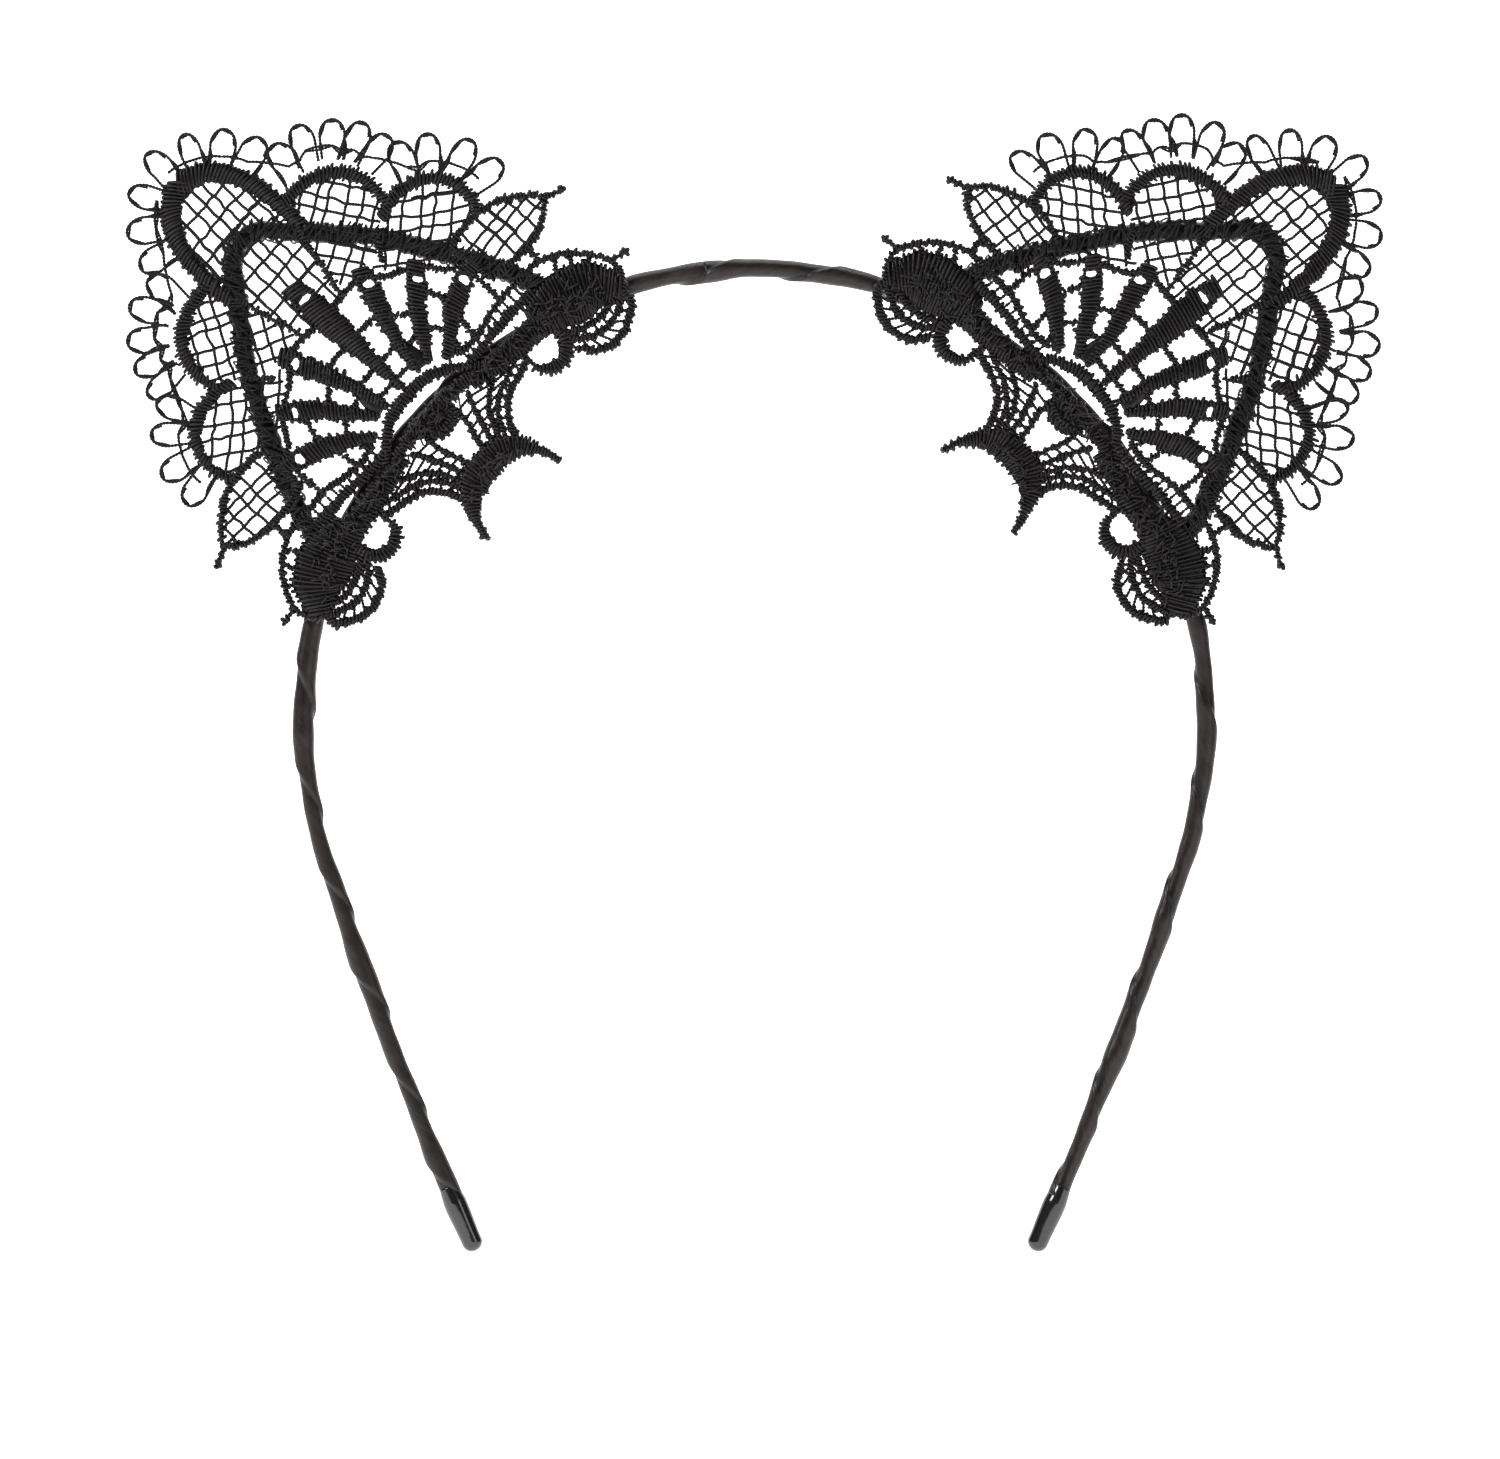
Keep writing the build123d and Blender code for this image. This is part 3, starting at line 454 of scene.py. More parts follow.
def stitches(line, widths, pitch=None, thick=1.2, thread=None, ragged=None, hole=None, slant=0.0, teeth=None):
    # each stitch is a closed loop round the bar: across (lo+hi)/2 + (hi-lo)/2 cos a, depth thick/2 sin a
    pitch = pitch or stitchMm["pitch"]
    thread = thread or stitchMm["thread"]
    ragged = stitchMm["ragged"] if ragged is None else ragged
    teeth = stitchMm["teeth"] if teeth is None else teeth
    centre, along, square, half = alongBar(line, widths, pitch)
    half = half - thread
    count = len(centre)
    tooth = teeth * np.where(np.arange(count) % 2, 1, -1)       # long and short stitches by turns
    hi = np.maximum(half + tooth + rng.normal(0, ragged, count), 0.1)
    lo = -np.maximum(half + tooth + rng.normal(0, ragged, count), 0.1)
    pick = np.arange(count)
    if hole:
        middle, gap = eyeletGap(hole, centre, along, square)
        cut = gap > 0.05
        inner = middle + gap + thread
        outer = middle - gap - thread
        pick = np.r_[pick, pick[cut]]
        hi = np.r_[hi, np.maximum(outer[cut], lo[cut] + 0.1)]
        lo = np.r_[np.where(cut, np.minimum(inner, hi[:count] - 0.1), lo), lo[cut]]
    centre, along, square, half = centre[pick], along[pick], square[pick], half[pick]
    angle = np.arange(12) * math.pi / 6 + 0.26
    cosine, sine = np.cos(angle), np.sin(angle)
    reach = ((lo + hi) / 2)[:, None] + ((hi - lo) / 2)[:, None] * np.sign(cosine) * np.abs(cosine) ** 0.85
    lean = slant * reach + 0.25 * pitch * sine[None, :] + rng.normal(0, 0.04, (len(pick), 1))
    deep = deepFor(np.maximum(half, 0.1), thick, thread)[:, None] * (1 + rng.normal(0, 0.06, (len(pick), 1)))
    flat = centre[:, None] + reach[..., None] * square[:, None] + lean[..., None] * along[:, None]
    depth = laceMid - deep * np.sign(sine) * np.abs(sine) ** 0.8
    paths = np.stack([flat[..., 0], depth, flat[..., 1]], -1)
    spine = np.stack([along[:, 0], np.zeros(len(pick)), along[:, 1]], -1)[:, None]
    wrap = tubes(paths, thread * (1 + rng.normal(0, 0.06, (len(pick), 1))), 5, True, spine)
    return joinParts([wrap] + pads(line, widths, thick, thread, hole))


def twisted(line, ply, lay, depth=laceMid):
    # two plies round one line: line + ply (cos 2 pi s/lay across + sin 2 pi s/lay in depth), half a turn apart
    centre, s = smoothLine(line, lay / 7)
    if centre.shape[1] == 2:
        centre = np.stack([centre[:, 0], np.full(len(centre), depth), centre[:, 1]], 1)
    along = unit(np.gradient(centre, axis=0))
    square = unit(np.cross(along, np.array([0, 1.0, 0])))
    over = np.cross(square, along)
    turn = 2 * math.pi * s / lay + rng.uniform(0, 6.28)
    strands = [centre + ply * (np.cos(turn + k)[:, None] * square + np.sin(turn + k)[:, None] * over)
               for k in (0, math.pi)]
    return tubes(np.stack(strands), ply * 1.08, 5, False, np.array([0, 1.0, 0]))


def inside(points, outline):
    # even-odd crossing test of many points against one closed outline, as whole arrays
    x, y = points[:, :1], points[:, 1:]
    a = np.asarray(outline, float)
    b = np.roll(a, -1, 0)
    crosses = ((a[:, 1] > y) != (b[:, 1] > y)) & (
        x < (b[:, 0] - a[:, 0]) * (y - a[:, 1]) / (b[:, 1] - a[:, 1] + 1e-12) + a[:, 0])
    return crosses.sum(1) % 2 == 1


nets = [          # one cell each: outline, thread angles, spacings, a crossing point, mirrored or not
    {"outline": [(-6.8, 33), (-7.2, 39.5), (-6, 43.3), (-3.5, 46.6), (0, 48), (3.5, 46.6), (6, 43.3), (7.2, 39.5),
                 (6.8, 33), (5.8, 28), (5.2, 25), (4.2, 20.3), (2, 20.3), (0, 25), (-2, 20.3), (-4.2, 20.3),
                 (-5.2, 25), (-5.8, 28)],
     "angles": (88, 2), "pitch": (1.9, 2.9), "at": (-0.3, 28.9), "both": False},
    {"outline": [(7.4, 35.2), (11.5, 35.2), (15.2, 33.8), (17.6, 31), (18.4, 27.8), (17.4, 24.2), (15, 23),
                 (12.3, 20.6), (8.6, 20.7), (4.6, 20.6), (5.8, 28), (6.8, 31.6)],
     "angles": (28, -60), "pitch": (2.2, 2.1), "at": (11.4, 30.0), "both": True},
    {"outline": [(16, 23.6), (19, 24.3), (22.3, 23.9), (25.3, 21.9), (26.7, 19), (26.7, 16), (25.8, 14),
                 (21.5, 13.8), (18.6, 12.6), (15.9, 12.9), (14.6, 15.4), (12.2, 16.4), (9.0, 19.6), (12.4, 21)],
     "angles": (36, -38), "pitch": (2.15, 2.15), "at": (20.2, 20.0), "both": True},
    {"outline": [(19.5, 13.2), (22, 14), (26, 13.9), (29.5, 12.6), (32, 10.8), (33.8, 8.5), (31.2, 6.4), (28, 5.5),
                 (24.5, 5.5), (20.5, 6.3)],
     "angles": (3, 92), "pitch": (2.0, 2.5), "at": (27.2, 10.0), "both": True},
]


def netLines(net):
    # straight threads a pitch apart, kept where they lie inside the cell, bowed a little as worked
    found = []
    for angle, pitch in zip(net["angles"], net["pitch"]):
        a = math.radians(angle)
        way = np.array([math.cos(a), math.sin(a)])
        step = np.array([-way[1], way[0]])
        for k in range(-9, 10):
            start = np.array(net["at"]) + step * (k * pitch + rng.normal(0, netWork["off"]))
            run = np.arange(-22, 22, 0.25)
            points = start + run[:, None] * way
            held = inside(points, net["outline"])
            edges = np.flatnonzero(np.diff(np.r_[0, held.astype(int), 0]))
            for first, last in zip(edges[::2], edges[1::2]):
                if last - first < 6:
                    continue
                keep = points[first:last:4]
                keep = np.vstack([keep, points[last - 1]])
                t = np.linspace(-1, 1, len(keep))
                bow = rng.normal(0, netWork["bow"]) * (1 - t ** 2) \
                    + rng.normal(0, netWork["ripple"], len(keep)) * (1 - t ** 4)
                found.append(keep + bow[:, None] * step)
    return found


def loopPath(centre, outward, across, wobble, lean):
    # an arch: across half sin a, along long cos a, round to just past its widest, then two straight legs
    half, tall = loopSize["half"] * wobble[0], loopSize["long"] * wobble[1]
    a = np.linspace(-0.56 * math.pi, 0.56 * math.pi, 13)
    head = np.stack([half * np.sin(a), tall * np.cos(a)], 1)
    drop = np.array([0.3, 0.65, 1.0])[:, None] * loopSize["legs"]
    left = head[0] + drop * [0.07 + lean, -0.87]
    right = head[-1] + drop * [-0.07 + lean, -0.87]
    shape = np.vstack([left[::-1], head, right])
    return np.array(centre) + shape[:, :1] * across + shape[:, 1:] * outward


def edgeWork(mirrorSign):
    # the row of thread loops outside the scallops, each with a second thread over its head, and their links
    parts, spots = [], []
    centres = [(u * mirrorSign, v) for u, v in edgeLoops]
    centres = centres if mirrorSign > 0 else centres[1:]
    ply, lay = loopSize["ply"], loopSize["lay"]
    for centre in centres:
        at = np.array(centre, float)
        hub = min(loopHubs["centres"],
                  key=lambda h: abs(math.hypot(at[0] - h[0] * mirrorSign, at[1] - h[1]) - loopHubs["reach"]))
        outward = unit(at - np.array([hub[0] * mirrorSign, hub[1]]))
        across = np.array([outward[1], -outward[0]])
        path = loopPath(at, outward, across, 1 + rng.normal(0, 0.06, 2), rng.normal(0, 0.08))
        parts.append(twisted(path, ply, lay, laceMid + rng.normal(0, 0.12)))
        inset = 0.34 * np.abs(np.sin(np.linspace(0, 2.6 * math.pi, 11)))[:, None]
        first = 3 + int(rng.integers(0, 2))
        head = path[first:first + 11]
        parts.append(twisted(head - inset * unit(head - at), ply * 0.85, lay, laceMid + 0.12))
        leg = path[-4:] if rng.random() < 0.5 else path[:4][::-1]
        parts.append(twisted(leg + across * 0.3 * np.array([0, 1, 1, 0.3])[:, None], ply * 0.85, lay, laceMid))
        spots.append((at - outward * 1.55, outward, across))
    # the link runs through every loop in front of its legs, dipping between them
    for first, second in zip(spots[:-1], spots[1:]):
        a, b = first[0], second[0]
        span = np.linalg.norm(b - a)
        lift = (first[1] + second[1]) / 2
        if span < 6.5:
            middle = (a + b) / 2 + lift * (0.2 if span > 3.6 else -0.5)
            parts.append(twisted([a, (a + middle) / 2 + lift * 0.1, middle, (b + middle) / 2 + lift * 0.1, b],
                                 ply, lay, laceMid - 0.1))
            if rng.random() < 0.55:
                parts.append(twisted([a - lift * 0.1, middle - lift * 0.42, b - lift * 0.05], ply * 0.85, lay,
                                     laceMid + 0.1))
    return parts


# pairs of neighbouring cords with short ties between them: first, second, how many
tiedCords = [(3, 4, 5), (4, 5, 6), (5, 6, 6), (6, 7, 7), (1, 2, 7), (2, -1, 6)]
ties = {"from": 0.16, "to": 0.94, "ply": 0.13, "lay": 0.9}


def tiesBetween(lineA, lineB, count):
    # threads from one cord to the next at even shares of their lengths
    a, _ = smoothLine(lineA, 0.1)
    b, _ = smoothLine(lineB, 0.1)
    parts = []
    for share in np.linspace(ties["from"], ties["to"], count):
        ends = [line[int(share * (len(line) - 1))] for line in (a, b)]
        parts.append(twisted([ends[0], (ends[0] + ends[1]) / 2, ends[1]], ties["ply"], ties["lay"], laceMid))
    return parts


def looseThreads(sign):
    # short threads across the full parts: middle along a line plus a scatter, turned at random, bowed forward
    rows = []
    for start, end, spread, count in overlays:
        share = rng.random((count, 1))
        middle = np.array(start) + share * (np.array(end) - start) + rng.normal(0, spread / 2.4, (count, 2))
        angle = rng.uniform(0, math.pi, count)
        half = rng.uniform(loose["shortest"], loose["longest"], count)[:, None]
        t = np.linspace(-1, 1, 7)
        flat = middle[:, None] * [sign, 1] \
            + (half * t)[..., None] * np.stack([np.cos(angle), np.sin(angle)], 1)[:, None]
        depth = laceMid - loose["rise"] - loose["bow"] * (1 - t ** 2) + loose["dive"] * t ** 4 \
            + rng.normal(0, 0.05, (count, 1))
        rows.append(np.stack([flat[..., 0], depth, flat[..., 1]], -1))
    paths = np.concatenate(rows)
    return tubes(paths, np.full(len(paths), loose["thread"])[:, None], 6, False, np.array([0, 1.0, 0]))


def laceFor():
    # every part of one ear in drawing mm, the right half and then the left, sorted into its five pieces
    arches, fan, base = [], [], []
    for sign in (1, -1):
        flip = (lambda pts: pts) if sign > 0 else mirrorHalf
        for kind, points, widths in satinBars:
            goesTo, thick, slant, fuller = barKinds[kind]
            group = arches if goesTo == "scallops" else base
            group.append(stitches(flip(points), np.array(widths) * fuller, thick=thick, slant=sign * slant))
        for points, width in cords:
            group = fan if points[0][1] > fanAbove else base
            group.append(stitches(flip(points), [width * cordFuller] * 2, **cordWork))
        for one, other, count in tiedCords:
            base.extend(tiesBetween(flip(cords[one][0]), flip(cords[other][0]), count))
        base.append(looseThreads(sign))
        for points, widths, eyelet, wide, high in fanSpokes:
            if points[0][0] == 0 and sign < 0:
                continue
            hole = (flip([eyelet])[0], wide, high)
            fan.append(stitches(flip(points), np.array(widths) * spokeWork["fuller"], hole=hole,
                                slant=spokeWork["slant"] * sign))
        for u in np.arange(rungs["fromU"], rungs["toU"], rungs["pitch"]):
            base.append(stitches(flip([(u, rungs["low"]), (u, rungs["high"])]), [rungs["width"]] * 2, pitch=0.4,
                                 thick=0.7, thread=0.17, ragged=0.03, teeth=0.0))
        for k in cordKnots:
            u, v = flip([k])[0]
            base.append(stitches([(u - 0.5 * sign, v), (u, v), (u + 0.35 * sign, v - 0.1)], [0.9, 1.2, 0.8],
                                 pitch=0.4, thick=1.0))
    base.append(stitches(crescent["line"], crescent["widths"], thick=1.4, pitch=0.5, slant=0.12))
    # the lobe under the brow: rays worked side by side, so that its lower edge is a row of thread ends
    fanAngle = np.linspace(math.pi * 1.04, math.pi * 1.96, lobe["rays"])
    for angle in fanAngle:
        reach = lobe["radius"] + rng.normal(0, 0.16)
        tip = np.array(lobe["centre"]) + reach * np.array([math.cos(angle), math.sin(angle)])
        root = np.array([0.35 * tip[0], -0.4])
        base.append(twisted([root, (tip + root) / 2, tip], lobe["ply"], 1.6, laceMid + rng.normal(0, 0.05)))
    base += [stitches(line, widths, thick=1.2, slant=0.15) for line, widths in lobe["bars"]]
    threads = []
    ply, lay = netWork["ply"], netWork["lay"]
    for net in nets:
        for line in netLines(net):
            threads.append(twisted(line, ply, lay, laceMid + rng.normal(0, 0.1)))
            if rng.random() < netWork["doubled"]:      # a second thread beside it for part of the way
                beside = line[len(line) // 4:] + rng.normal(0.2, 0.05, 2)
                if len(beside) > 3:
                    threads.append(twisted(beside, ply * 0.8, lay, laceMid + 0.1))
            if net["both"]:
                other = np.array(line) * np.array([-1, 1]) + rng.normal(0, 0.05, 2)
                threads.append(twisted(other, ply, lay, laceMid + rng.normal(0, 0.1)))
    loops = edgeWork(1) + edgeWork(-1)
    return {"scallops": (arches, satinThread), "fan": (fan, satinThread), "base": (base, satinThread),
            "net": (threads, netThread), "edge_loops": (loops, netThread)}


standsFor = {"scallops": ["ear_border"], "fan": ["ear_fan"], "base": ["base_scrolls", "base_bridge"],
             "net": ["ear_net"], "edge_loops": ["ear_edge_loops"]}


def bendAtFold(piece):
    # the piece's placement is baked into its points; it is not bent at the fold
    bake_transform(piece)


for side in sides:
    for part, (parts, material) in laceFor().items():
        verts, faces = joinParts(parts)
        piece = makePiece(f"{side}_lace_{part}", toRow(side, verts), faces, material)
        bendAtFold(piece)
        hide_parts(*[f"{side}_{node}" for node in standsFor[part]])
        print(piece.name, len(piece.data.polygons), "faces")

# the wound wire inside each ear
frameLine = [(0, 36.5), (2.8, 35.6), (5.8, 32.0), (9.2, 28.0), (12.3, 24.3), (14.8, 20.3), (17.2, 16), (19.4, 12),
             (21.3, 8.2), (22.9, 4.2), (23.9, 1.2), (24.6, -1.2)]
winding = {"half": 1.25, "deep": 0.85, "pitch": 2.2, "ridge": 0.2}
# whipping in mm: pitch, thread, least and extra half width, lean and its scatter, and its depths before and behind
whip = {"pitch": 0.75, "thread": 0.16, "half": 1.32, "more": 0.45, "lean": 0.5, "scatter": 0.45,
        "front": laceMid - 0.55, "back": 1.12}


def woundTube(path, half, deep, pitch, ridge, spine, phase=0.0, sides=20):
    # flattened tube, half across and deep through, raised by a saw-tooth that runs round as the ribbon winds
    path = np.asarray(path, float)
    along = unit(np.gradient(path, axis=0))
    s = np.r_[0, np.cumsum(np.linalg.norm(np.diff(path, axis=0), axis=1))]
    depth = unit(spine - (spine * along).sum(-1, keepdims=True) * along)
    square = np.cross(along, depth)
    a = np.arange(sides) * 2 * math.pi / sides
    turn = (a[None, :] / (2 * math.pi) - s[:, None] / pitch + phase) % 1.0
    lift = ridge * (turn ** 1.5) * np.clip((1 - turn) / 0.06, 0, 1)
    half = np.broadcast_to(half, len(path))[:, None]
    deep = np.broadcast_to(deep, len(path))[:, None]
    verts = path[:, None] + ((half + lift) * np.cos(a))[..., None] * square[:, None] \
        + ((deep + lift) * np.sin(a))[..., None] * depth[:, None]
    rows = len(path)
    index = np.arange(rows * sides).reshape(rows, sides)
    quads = np.stack([index[:-1], np.roll(index[:-1], -1, 1), np.roll(index[1:], -1, 1), index[1:]], -1)
    faces = [quads.reshape(-1, 4), index[:1, ::-1], index[-1:]]
    uv = np.stack([turn * pitch, np.broadcast_to(s[:, None], turn.shape) + 0.6 * np.cos(a)], -1)
    return verts.reshape(-1, 3), faces, uv.reshape(-1, 2)


def giveUv(piece, perPoint):
    # the ribbon's own length and width in mm, carried to each face corner
    layer = piece.data.uv_layers.new(name="wound")
    corner = np.zeros(len(piece.data.loops), np.int32)
    piece.data.loops.foreach_get("vertex_index", corner)
    layer.data.foreach_set("uv", perPoint[corner].astype(np.float32).ravel())


for side in sides:
    half = np.array(frameLine)
    full = np.vstack([half[:0:-1] * [-1, 1], half])
    flat, s = smoothLine(full, 0.22)
    path = np.stack([flat[:, 0], np.zeros(len(flat)), flat[:, 1]], 1)
    swell = 1 + 0.05 * np.sin(s / 2.3 + 1.1) + 0.05 * np.sin(s / 0.7) + 0.03 * np.sin(s / 0.31)
    verts, faces, uv = woundTube(path, winding["half"] * swell, winding["deep"] * swell, winding["pitch"],
                                 winding["ridge"], np.array([0, -1.0, 0]))
    piece = makePiece(side + "_frame_binding", toRow(side, verts), faces, earRibbon)
    giveUv(piece, uv)
    bendAtFold(piece)
    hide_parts(side + "_ear_winding")
    # whipping: each stitch goes over the binding and out through the lace in front of it, on a slant
    count = int(s[-1] / whip["pitch"])
    at = np.linspace(0.02, 0.98, count) * s[-1] + rng.normal(0, 0.25, count)
    centre = np.stack([np.interp(at, s, flat[:, k]) for k in (0, 1)], 1)
    along = np.stack([np.interp(at, s, np.gradient(flat[:, k], s)) for k in (0, 1)], 1)
    along = unit(along)
    square = np.stack([-along[:, 1], along[:, 0]], 1)
    a = np.arange(20) * 2 * math.pi / 20
    wide = whip["half"] + whip["more"] * rng.uniform(0, 1, count)[:, None] ** 1.6
    slant = rng.normal(whip["lean"], whip["scatter"], count)[:, None]
    sideways = wide * np.sign(np.cos(a)) * np.abs(np.cos(a)) ** 0.7
    flatLoop = centre[:, None] + sideways[..., None] * square[:, None] \
        + (slant * (np.cos(a) + 0.4 * np.sin(2 * a)))[..., None] * along[:, None]
    halfway, reach = (whip["front"] + whip["back"]) / 2, (whip["back"] - whip["front"]) / 2
    depth = halfway - reach * np.sign(np.sin(a)) * np.abs(np.sin(a)) ** 0.5
    loops = np.concatenate([flatLoop[..., :1], np.broadcast_to(depth, flatLoop.shape[:2])[..., None],
                            flatLoop[..., 1:]], -1)
    spine = np.stack([along[:, 0], np.zeros(count), along[:, 1]], -1)[:, None]
    verts, faces = tubes(loops, whip["thread"], 6, True, spine)
    piece = makePiece(side + "_whip_stitches", toRow(side, verts), faces, sewingThread)
    bendAtFold(piece)
    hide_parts(side + "_ear_tacks")
print("ear frames bound")

# lashings: sewing thread wound round hoop and foot together
# a turn's section is an egg: outward middle + tall cos a + egg cos 2a, depth (deep - narrow cos a) sin a
lashing = {"length": 4.6, "turns": 15, "thread": 0.17, "middle": 0.55, "tall": 2.25, "egg": 0.2, "deep": 1.62,
           "narrow": 0.3, "slant": 0.32}


for side, sign in sides.items():
    for which in ("inner", "outer"):
        node = f"{side}_{which}_foot_lashing"
        low, high = (np.array(c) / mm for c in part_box(node))
        middle = (low + high) / 2
        angle = math.degrees(math.atan2(middle[0], middle[2] - hoop["centreZ"]))
        span = math.degrees(lashing["length"] / hoop["radius"])
        turns = lashing["turns"]
        where = np.linspace(angle - span / 2, angle + span / 2, turns) + rng.normal(0, 0.08, turns)
        a = np.arange(24) * 2 * math.pi / 24
        radial = lashing["middle"] + lashing["tall"] * np.cos(a) + lashing["egg"] * np.cos(2 * a)
        depth = (lashing["deep"] - lashing["narrow"] * np.cos(a)) * np.sin(a)
        turnSlant = lashing["slant"] * np.cos(a)
        theta = np.radians(where[:, None] + np.degrees(turnSlant[None] / hoop["radius"]))
        r = hoop["radius"] + radial[None] + rng.normal(0, 0.05, (len(where), 1))
        loops = np.stack([r * np.sin(theta), np.broadcast_to(depth, r.shape[:1] + depth.shape) * 1.0,
                          hoop["centreZ"] + r * np.cos(theta)], -1)
        turnAngle = np.radians(where)
        spine = np.stack([np.cos(turnAngle), np.zeros(len(where)), -np.sin(turnAngle)], -1)[:, None]
        verts, faces = tubes(loops, lashing["thread"], 6, True, spine)
        piece = makePiece(f"{side}_{which}_lashing_thread", verts * mm, faces, sewingThread)
        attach(piece, side + "_shoulder")
        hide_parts(node)
print("feet lashed")

# the hoop's ribbon, one winding from end to end, in four runs that meet at the crown and the ears
ribbon = {"radius": 1.16, "pitch": 15.0, "ridge": 0.42, "tightness": 0.96, "phase": 0.3, "lap": -7.0,
          "lapOver": 0.5, "tuck": 0.09, "tuckOver": 0.8}
# thicker and thinner places: (mm from the crown, left is minus, extra radius, spread)
swells = [(-170, 0.14, 5), (-156, -0.1, 6), (-139, 0.24, 5), (-118, -0.12, 8), (-101, 0.28, 5), (-88, 0.2, 6),
          (-38, -0.1, 6), (-6.5, 0.3, 3.6), (-1, -0.08, 3), (9, 0.08, 5), (30, -0.12, 6), (92, -0.05, 6),
          (104, 0.12, 5), (131, 0.1, 4), (151, 0.34, 5), (164, -0.1, 5), (176, 0.1, 5)]


def hoopLine(fromMm, toMm, step=0.4):
    # centreline by signed length from the crown: a round arc, then an almost straight leg on a large arc
    s = np.linspace(fromMm, toMm, int(abs(toMm - fromMm) / step) + 2)
    end = math.radians(hoop["roundDeg"])
    a = np.minimum(np.abs(s), end * hoop["radius"]) / hoop["radius"]
    b = np.maximum(np.abs(s) - end * hoop["radius"], 0) / hoop["legRadius"]
    x = hoop["radius"] * np.sin(a) + hoop["legRadius"] * (np.sin(end + b) - math.sin(end))
    z = hoop["centreZ"] + hoop["radius"] * np.cos(a) + hoop["legRadius"] * (np.cos(end + b) - math.cos(end))
    return np.stack([np.sign(s) * x, np.zeros_like(x), z], 1), s


def radiusAlong(s):
    # the plain radius, a bell for each thick or thin place, and two small ripples
    r = np.full(len(s), ribbon["radius"])
    for at, extra, spread in swells:
        r = r + extra * np.exp(-((s - at) / spread) ** 2)
    return r + 0.03 * np.sin(s / 1.7) + 0.025 * np.sin(s / 0.83 + 1)


wholeLength = math.radians(hoop["roundDeg"]) * hoop["radius"] + hoop["legLength"]
seatLength = math.radians(hoop["seatDeg"]) * hoop["radius"]
bare = 8.4                # the ribbon stops this far from the end, inside the dip
dip = {"length": 10.0, "thin": 1.36, "swell": 0.24, "run": 0.1, "roundFrom": 0.86, "roundOver": 0.145}
for side, sign in sides.items():
    # the two upper runs meet at a lap beside the crown, where one end is tucked under the other
    crownEnd = sign * ribbon["lap"] - ribbon["lapOver"] / 2
    runs = {"crown_run": (crownEnd, seatLength, "crown", side + "_shoulder", hoop["crownFlex"]),
            "leg_run": (seatLength, wholeLength - bare, side + "_shoulder", side + "_leg", hoop["legFlex"])}
    for name, (first, last, bodyA, bodyB, flex) in runs.items():
        path, s = hoopLine(*((first, last) if sign > 0 else (-last, -first)))
        r = radiusAlong(s)
        if name == "crown_run" and side == "left":
            r = r - ribbon["tuck"] * np.clip(1 - (s[-1] - s) / ribbon["tuckOver"], 0, 1)
        phase = ribbon["phase"] - s[0] / ribbon["pitch"]
        verts, faces, uv = woundTube(path, r, r * ribbon["tightness"], ribbon["pitch"], ribbon["ridge"],
                                     np.array([0, -1.0, 0]), phase=phase, sides=40)
        piece = makePiece(f"{side}_ribbon_{name}", verts * mm, faces, hoopRibbon)
        giveUv(piece, uv + [0, s[0]])
        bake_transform(piece)
        if name == "crown_run":
            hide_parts(*(["crown_ribbon"] if side == "left" else []), side + "_shoulder_ribbon")
        else:
            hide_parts(side + "_leg_ribbon")
    # the dipped end: a rounded cap that swells where the dip ran down and thins over the ribbon
    path, s = hoopLine(sign * (wholeLength - dip["length"]), sign * wholeLength, 0.2)
    t = np.linspace(0, 1, len(s))
    r = dip["thin"] + dip["swell"] * np.clip(t / 0.25, 0, 1) + dip["run"] * np.sin(t * 5.5)
    r = r * np.sqrt(np.clip(1 - np.clip((t - dip["roundFrom"]) / dip["roundOver"], 0, 1) ** 2, 0.002, 1))
    verts, faces = tubes(path[None], r[None], 32, False, np.array([0, -1.0, 0]))
    piece = makePiece(side + "_dipped_end", verts * mm, faces, dippedVinyl)
    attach(piece, side + "_leg")
    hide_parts(side + "_end_bead")
print("hoop wound")

# finishes for the wires that stay as they are
for name, node in frame["nodes"].items():
    if "wire" in name:
        metal = softWire if ("ear" in name or "foot" in name) else springSteel
        node.data.materials.clear()
        node.data.materials.append(metal)

# floor, light and camera
stageMm = {"floor": -205.0, "back": 620.0, "front": -1500.0, "bend": 300.0, "wide": 1800.0, "high": 1500.0}
paper, tree = startMaterial("matteStudioPaper")
place = addNode(tree, "ShaderNodeTexCoord")
tooth = addNode(tree, "ShaderNodeTexNoise", {"Scale": 400.0, "Detail": 3.0}, {"Vector": (place, "Object")})
bump = addNode(tree, "ShaderNodeBump", {"Strength": 0.1, "Distance": 0.2 * mm}, {"Height": (tooth, 0)})
surface = addNode(tree, "ShaderNodeBsdfPrincipled",
                  {"Base Color": linear("#f4f3f1"), "Roughness": 0.9, "Emission Color": linear("#ffffff"),
                   "Emission Strength": 1.0}, {"Normal": (bump, 0)})
finishMaterial(tree, surface)
# the paper's profile: flat floor, a quarter circle, and a straight rise behind
bend = np.linspace(0, math.pi / 2, 24)
profile = np.vstack([[stageMm["front"], stageMm["floor"]],
                     np.stack([stageMm["back"] + stageMm["bend"] * np.sin(bend),
                               stageMm["floor"] + stageMm["bend"] * (1 - np.cos(bend))], 1),
                     [stageMm["back"] + stageMm["bend"], stageMm["high"]]])
grid = np.stack([np.stack([np.full(len(profile), x), profile[:, 0], profile[:, 1]], 1)
                 for x in (-stageMm["wide"], stageMm["wide"])], 1)
index = np.arange(grid.shape[0] * 2).reshape(-1, 2)
quads = np.stack([index[:-1, 0], index[:-1, 1], index[1:, 1], index[1:, 0]], -1)
sweep = makePiece("studio_sweep", grid.reshape(-1, 3) * mm, [quads], paper)

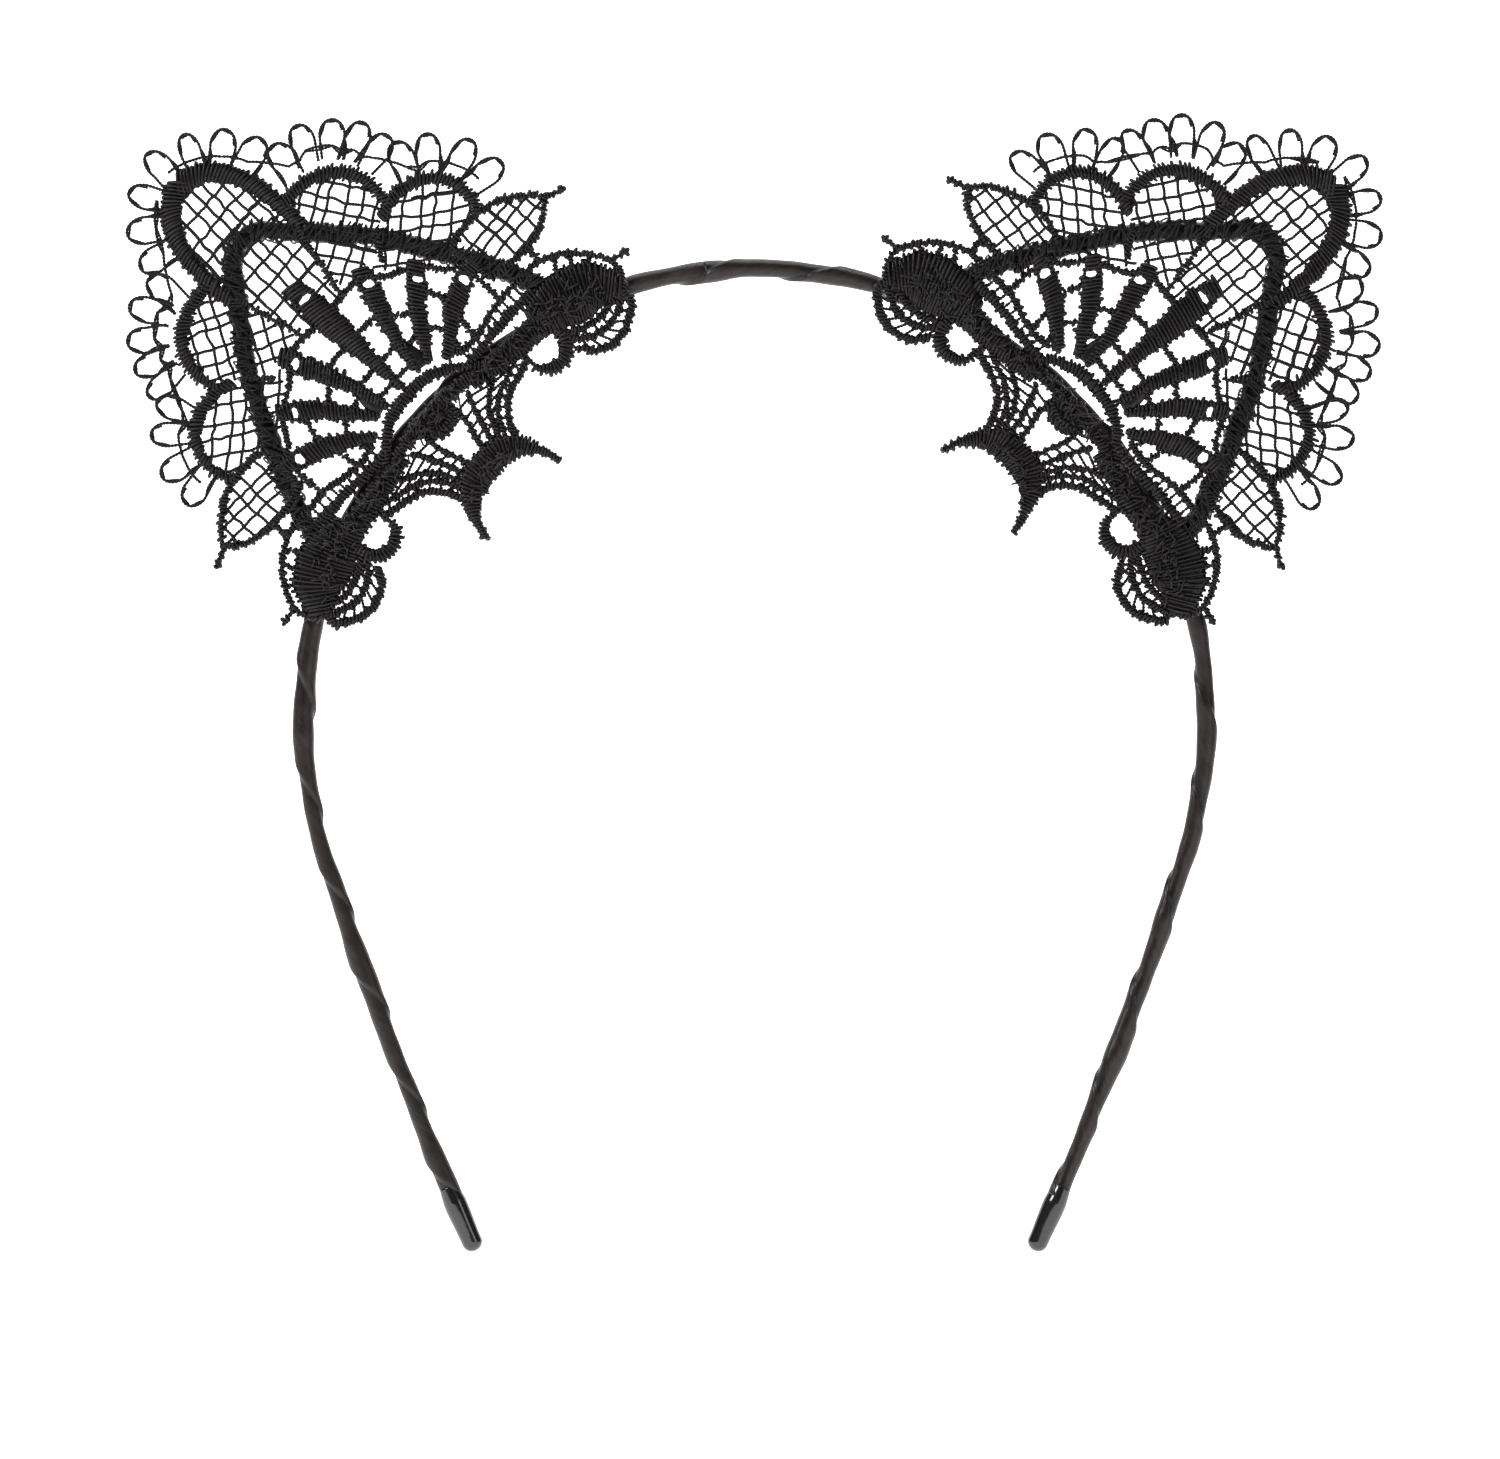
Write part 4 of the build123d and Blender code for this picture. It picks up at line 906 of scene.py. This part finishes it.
# the room is white to the eye but dim as a light, so that black thread keeps its dark gaps
world = bpy.data.worlds.new("softWhiteRoom")
world.use_nodes = True
tree = world.node_tree
tree.nodes.clear()
path = addNode(tree, "ShaderNodeLightPath")
dim = addNode(tree, "ShaderNodeBackground", {"Color": linear("#ffffff"), "Strength": 0.09})
seen = addNode(tree, "ShaderNodeBackground", {"Color": linear("#ffffff"), "Strength": 1.0})
either = addNode(tree, "ShaderNodeMixShader", links={0: (path, "Is Camera Ray"), 1: (dim, 0), 2: (seen, 0)})
addNode(tree, "ShaderNodeOutputWorld", links={"Surface": (either, 0)})
bpy.context.scene.world = world


softboxes = {     # place and aim in metres, size in metres, power in watts
    "keyLight": {"at": (-0.75, -0.7, 0.55), "aim": (0, 0, -0.05), "size": (0.35, 0.35), "power": 10},
    "fillLight": {"at": (0.8, -0.8, 0.1), "aim": (0, 0, -0.06), "size": (0.3, 0.6), "power": 1.8},
    "topLight": {"at": (0.0, 0.1, 0.9), "aim": (0, 0, -0.05), "size": (0.8, 0.4), "power": 7},
}


def softbox(name, at, aim, size, power):
    # a rectangular lamp turned so that its face looks along aim - at
    light = bpy.data.lights.new(name, "AREA")
    light.shape = "RECTANGLE"
    light.size, light.size_y = size
    light.energy = power
    holder = bpy.data.objects.new(name, light)
    holder.location = at
    away = np.array(at) - np.array(aim)
    holder.rotation_euler = (math.atan2(math.hypot(away[0], away[1]), away[2]), 0,
                             math.atan2(away[1], away[0]) + math.pi / 2)
    bpy.context.collection.objects.link(holder)


for name, box in softboxes.items():
    softbox(name, **box)

# the view in mm: its width at the lace, the camera's distance, and its place beside and below the hoop's centre
view = {"width": 1500 / 7, "distance": 700.0, "lace": 1.5, "beside": -5 / 7, "below": 9.5 / 7, "sensor": 36.0}
camera = bpy.data.cameras.new("frontCamera")
camera.sensor_width = view["sensor"]
camera.lens = view["sensor"] * view["distance"] / view["width"]
camera.clip_start, camera.clip_end = 0.01, 10.0
holder = bpy.data.objects.new("frontCamera", camera)
holder.location = (view["beside"] * mm, -(view["distance"] + view["lace"]) * mm,
                   (hoop["centreZ"] - view["below"]) * mm)
holder.rotation_euler = (math.pi / 2, 0, 0)
bpy.context.collection.objects.link(holder)
bpy.context.scene.camera = holder
bpy.context.scene.view_settings.view_transform = "Standard"
print("stage lit")
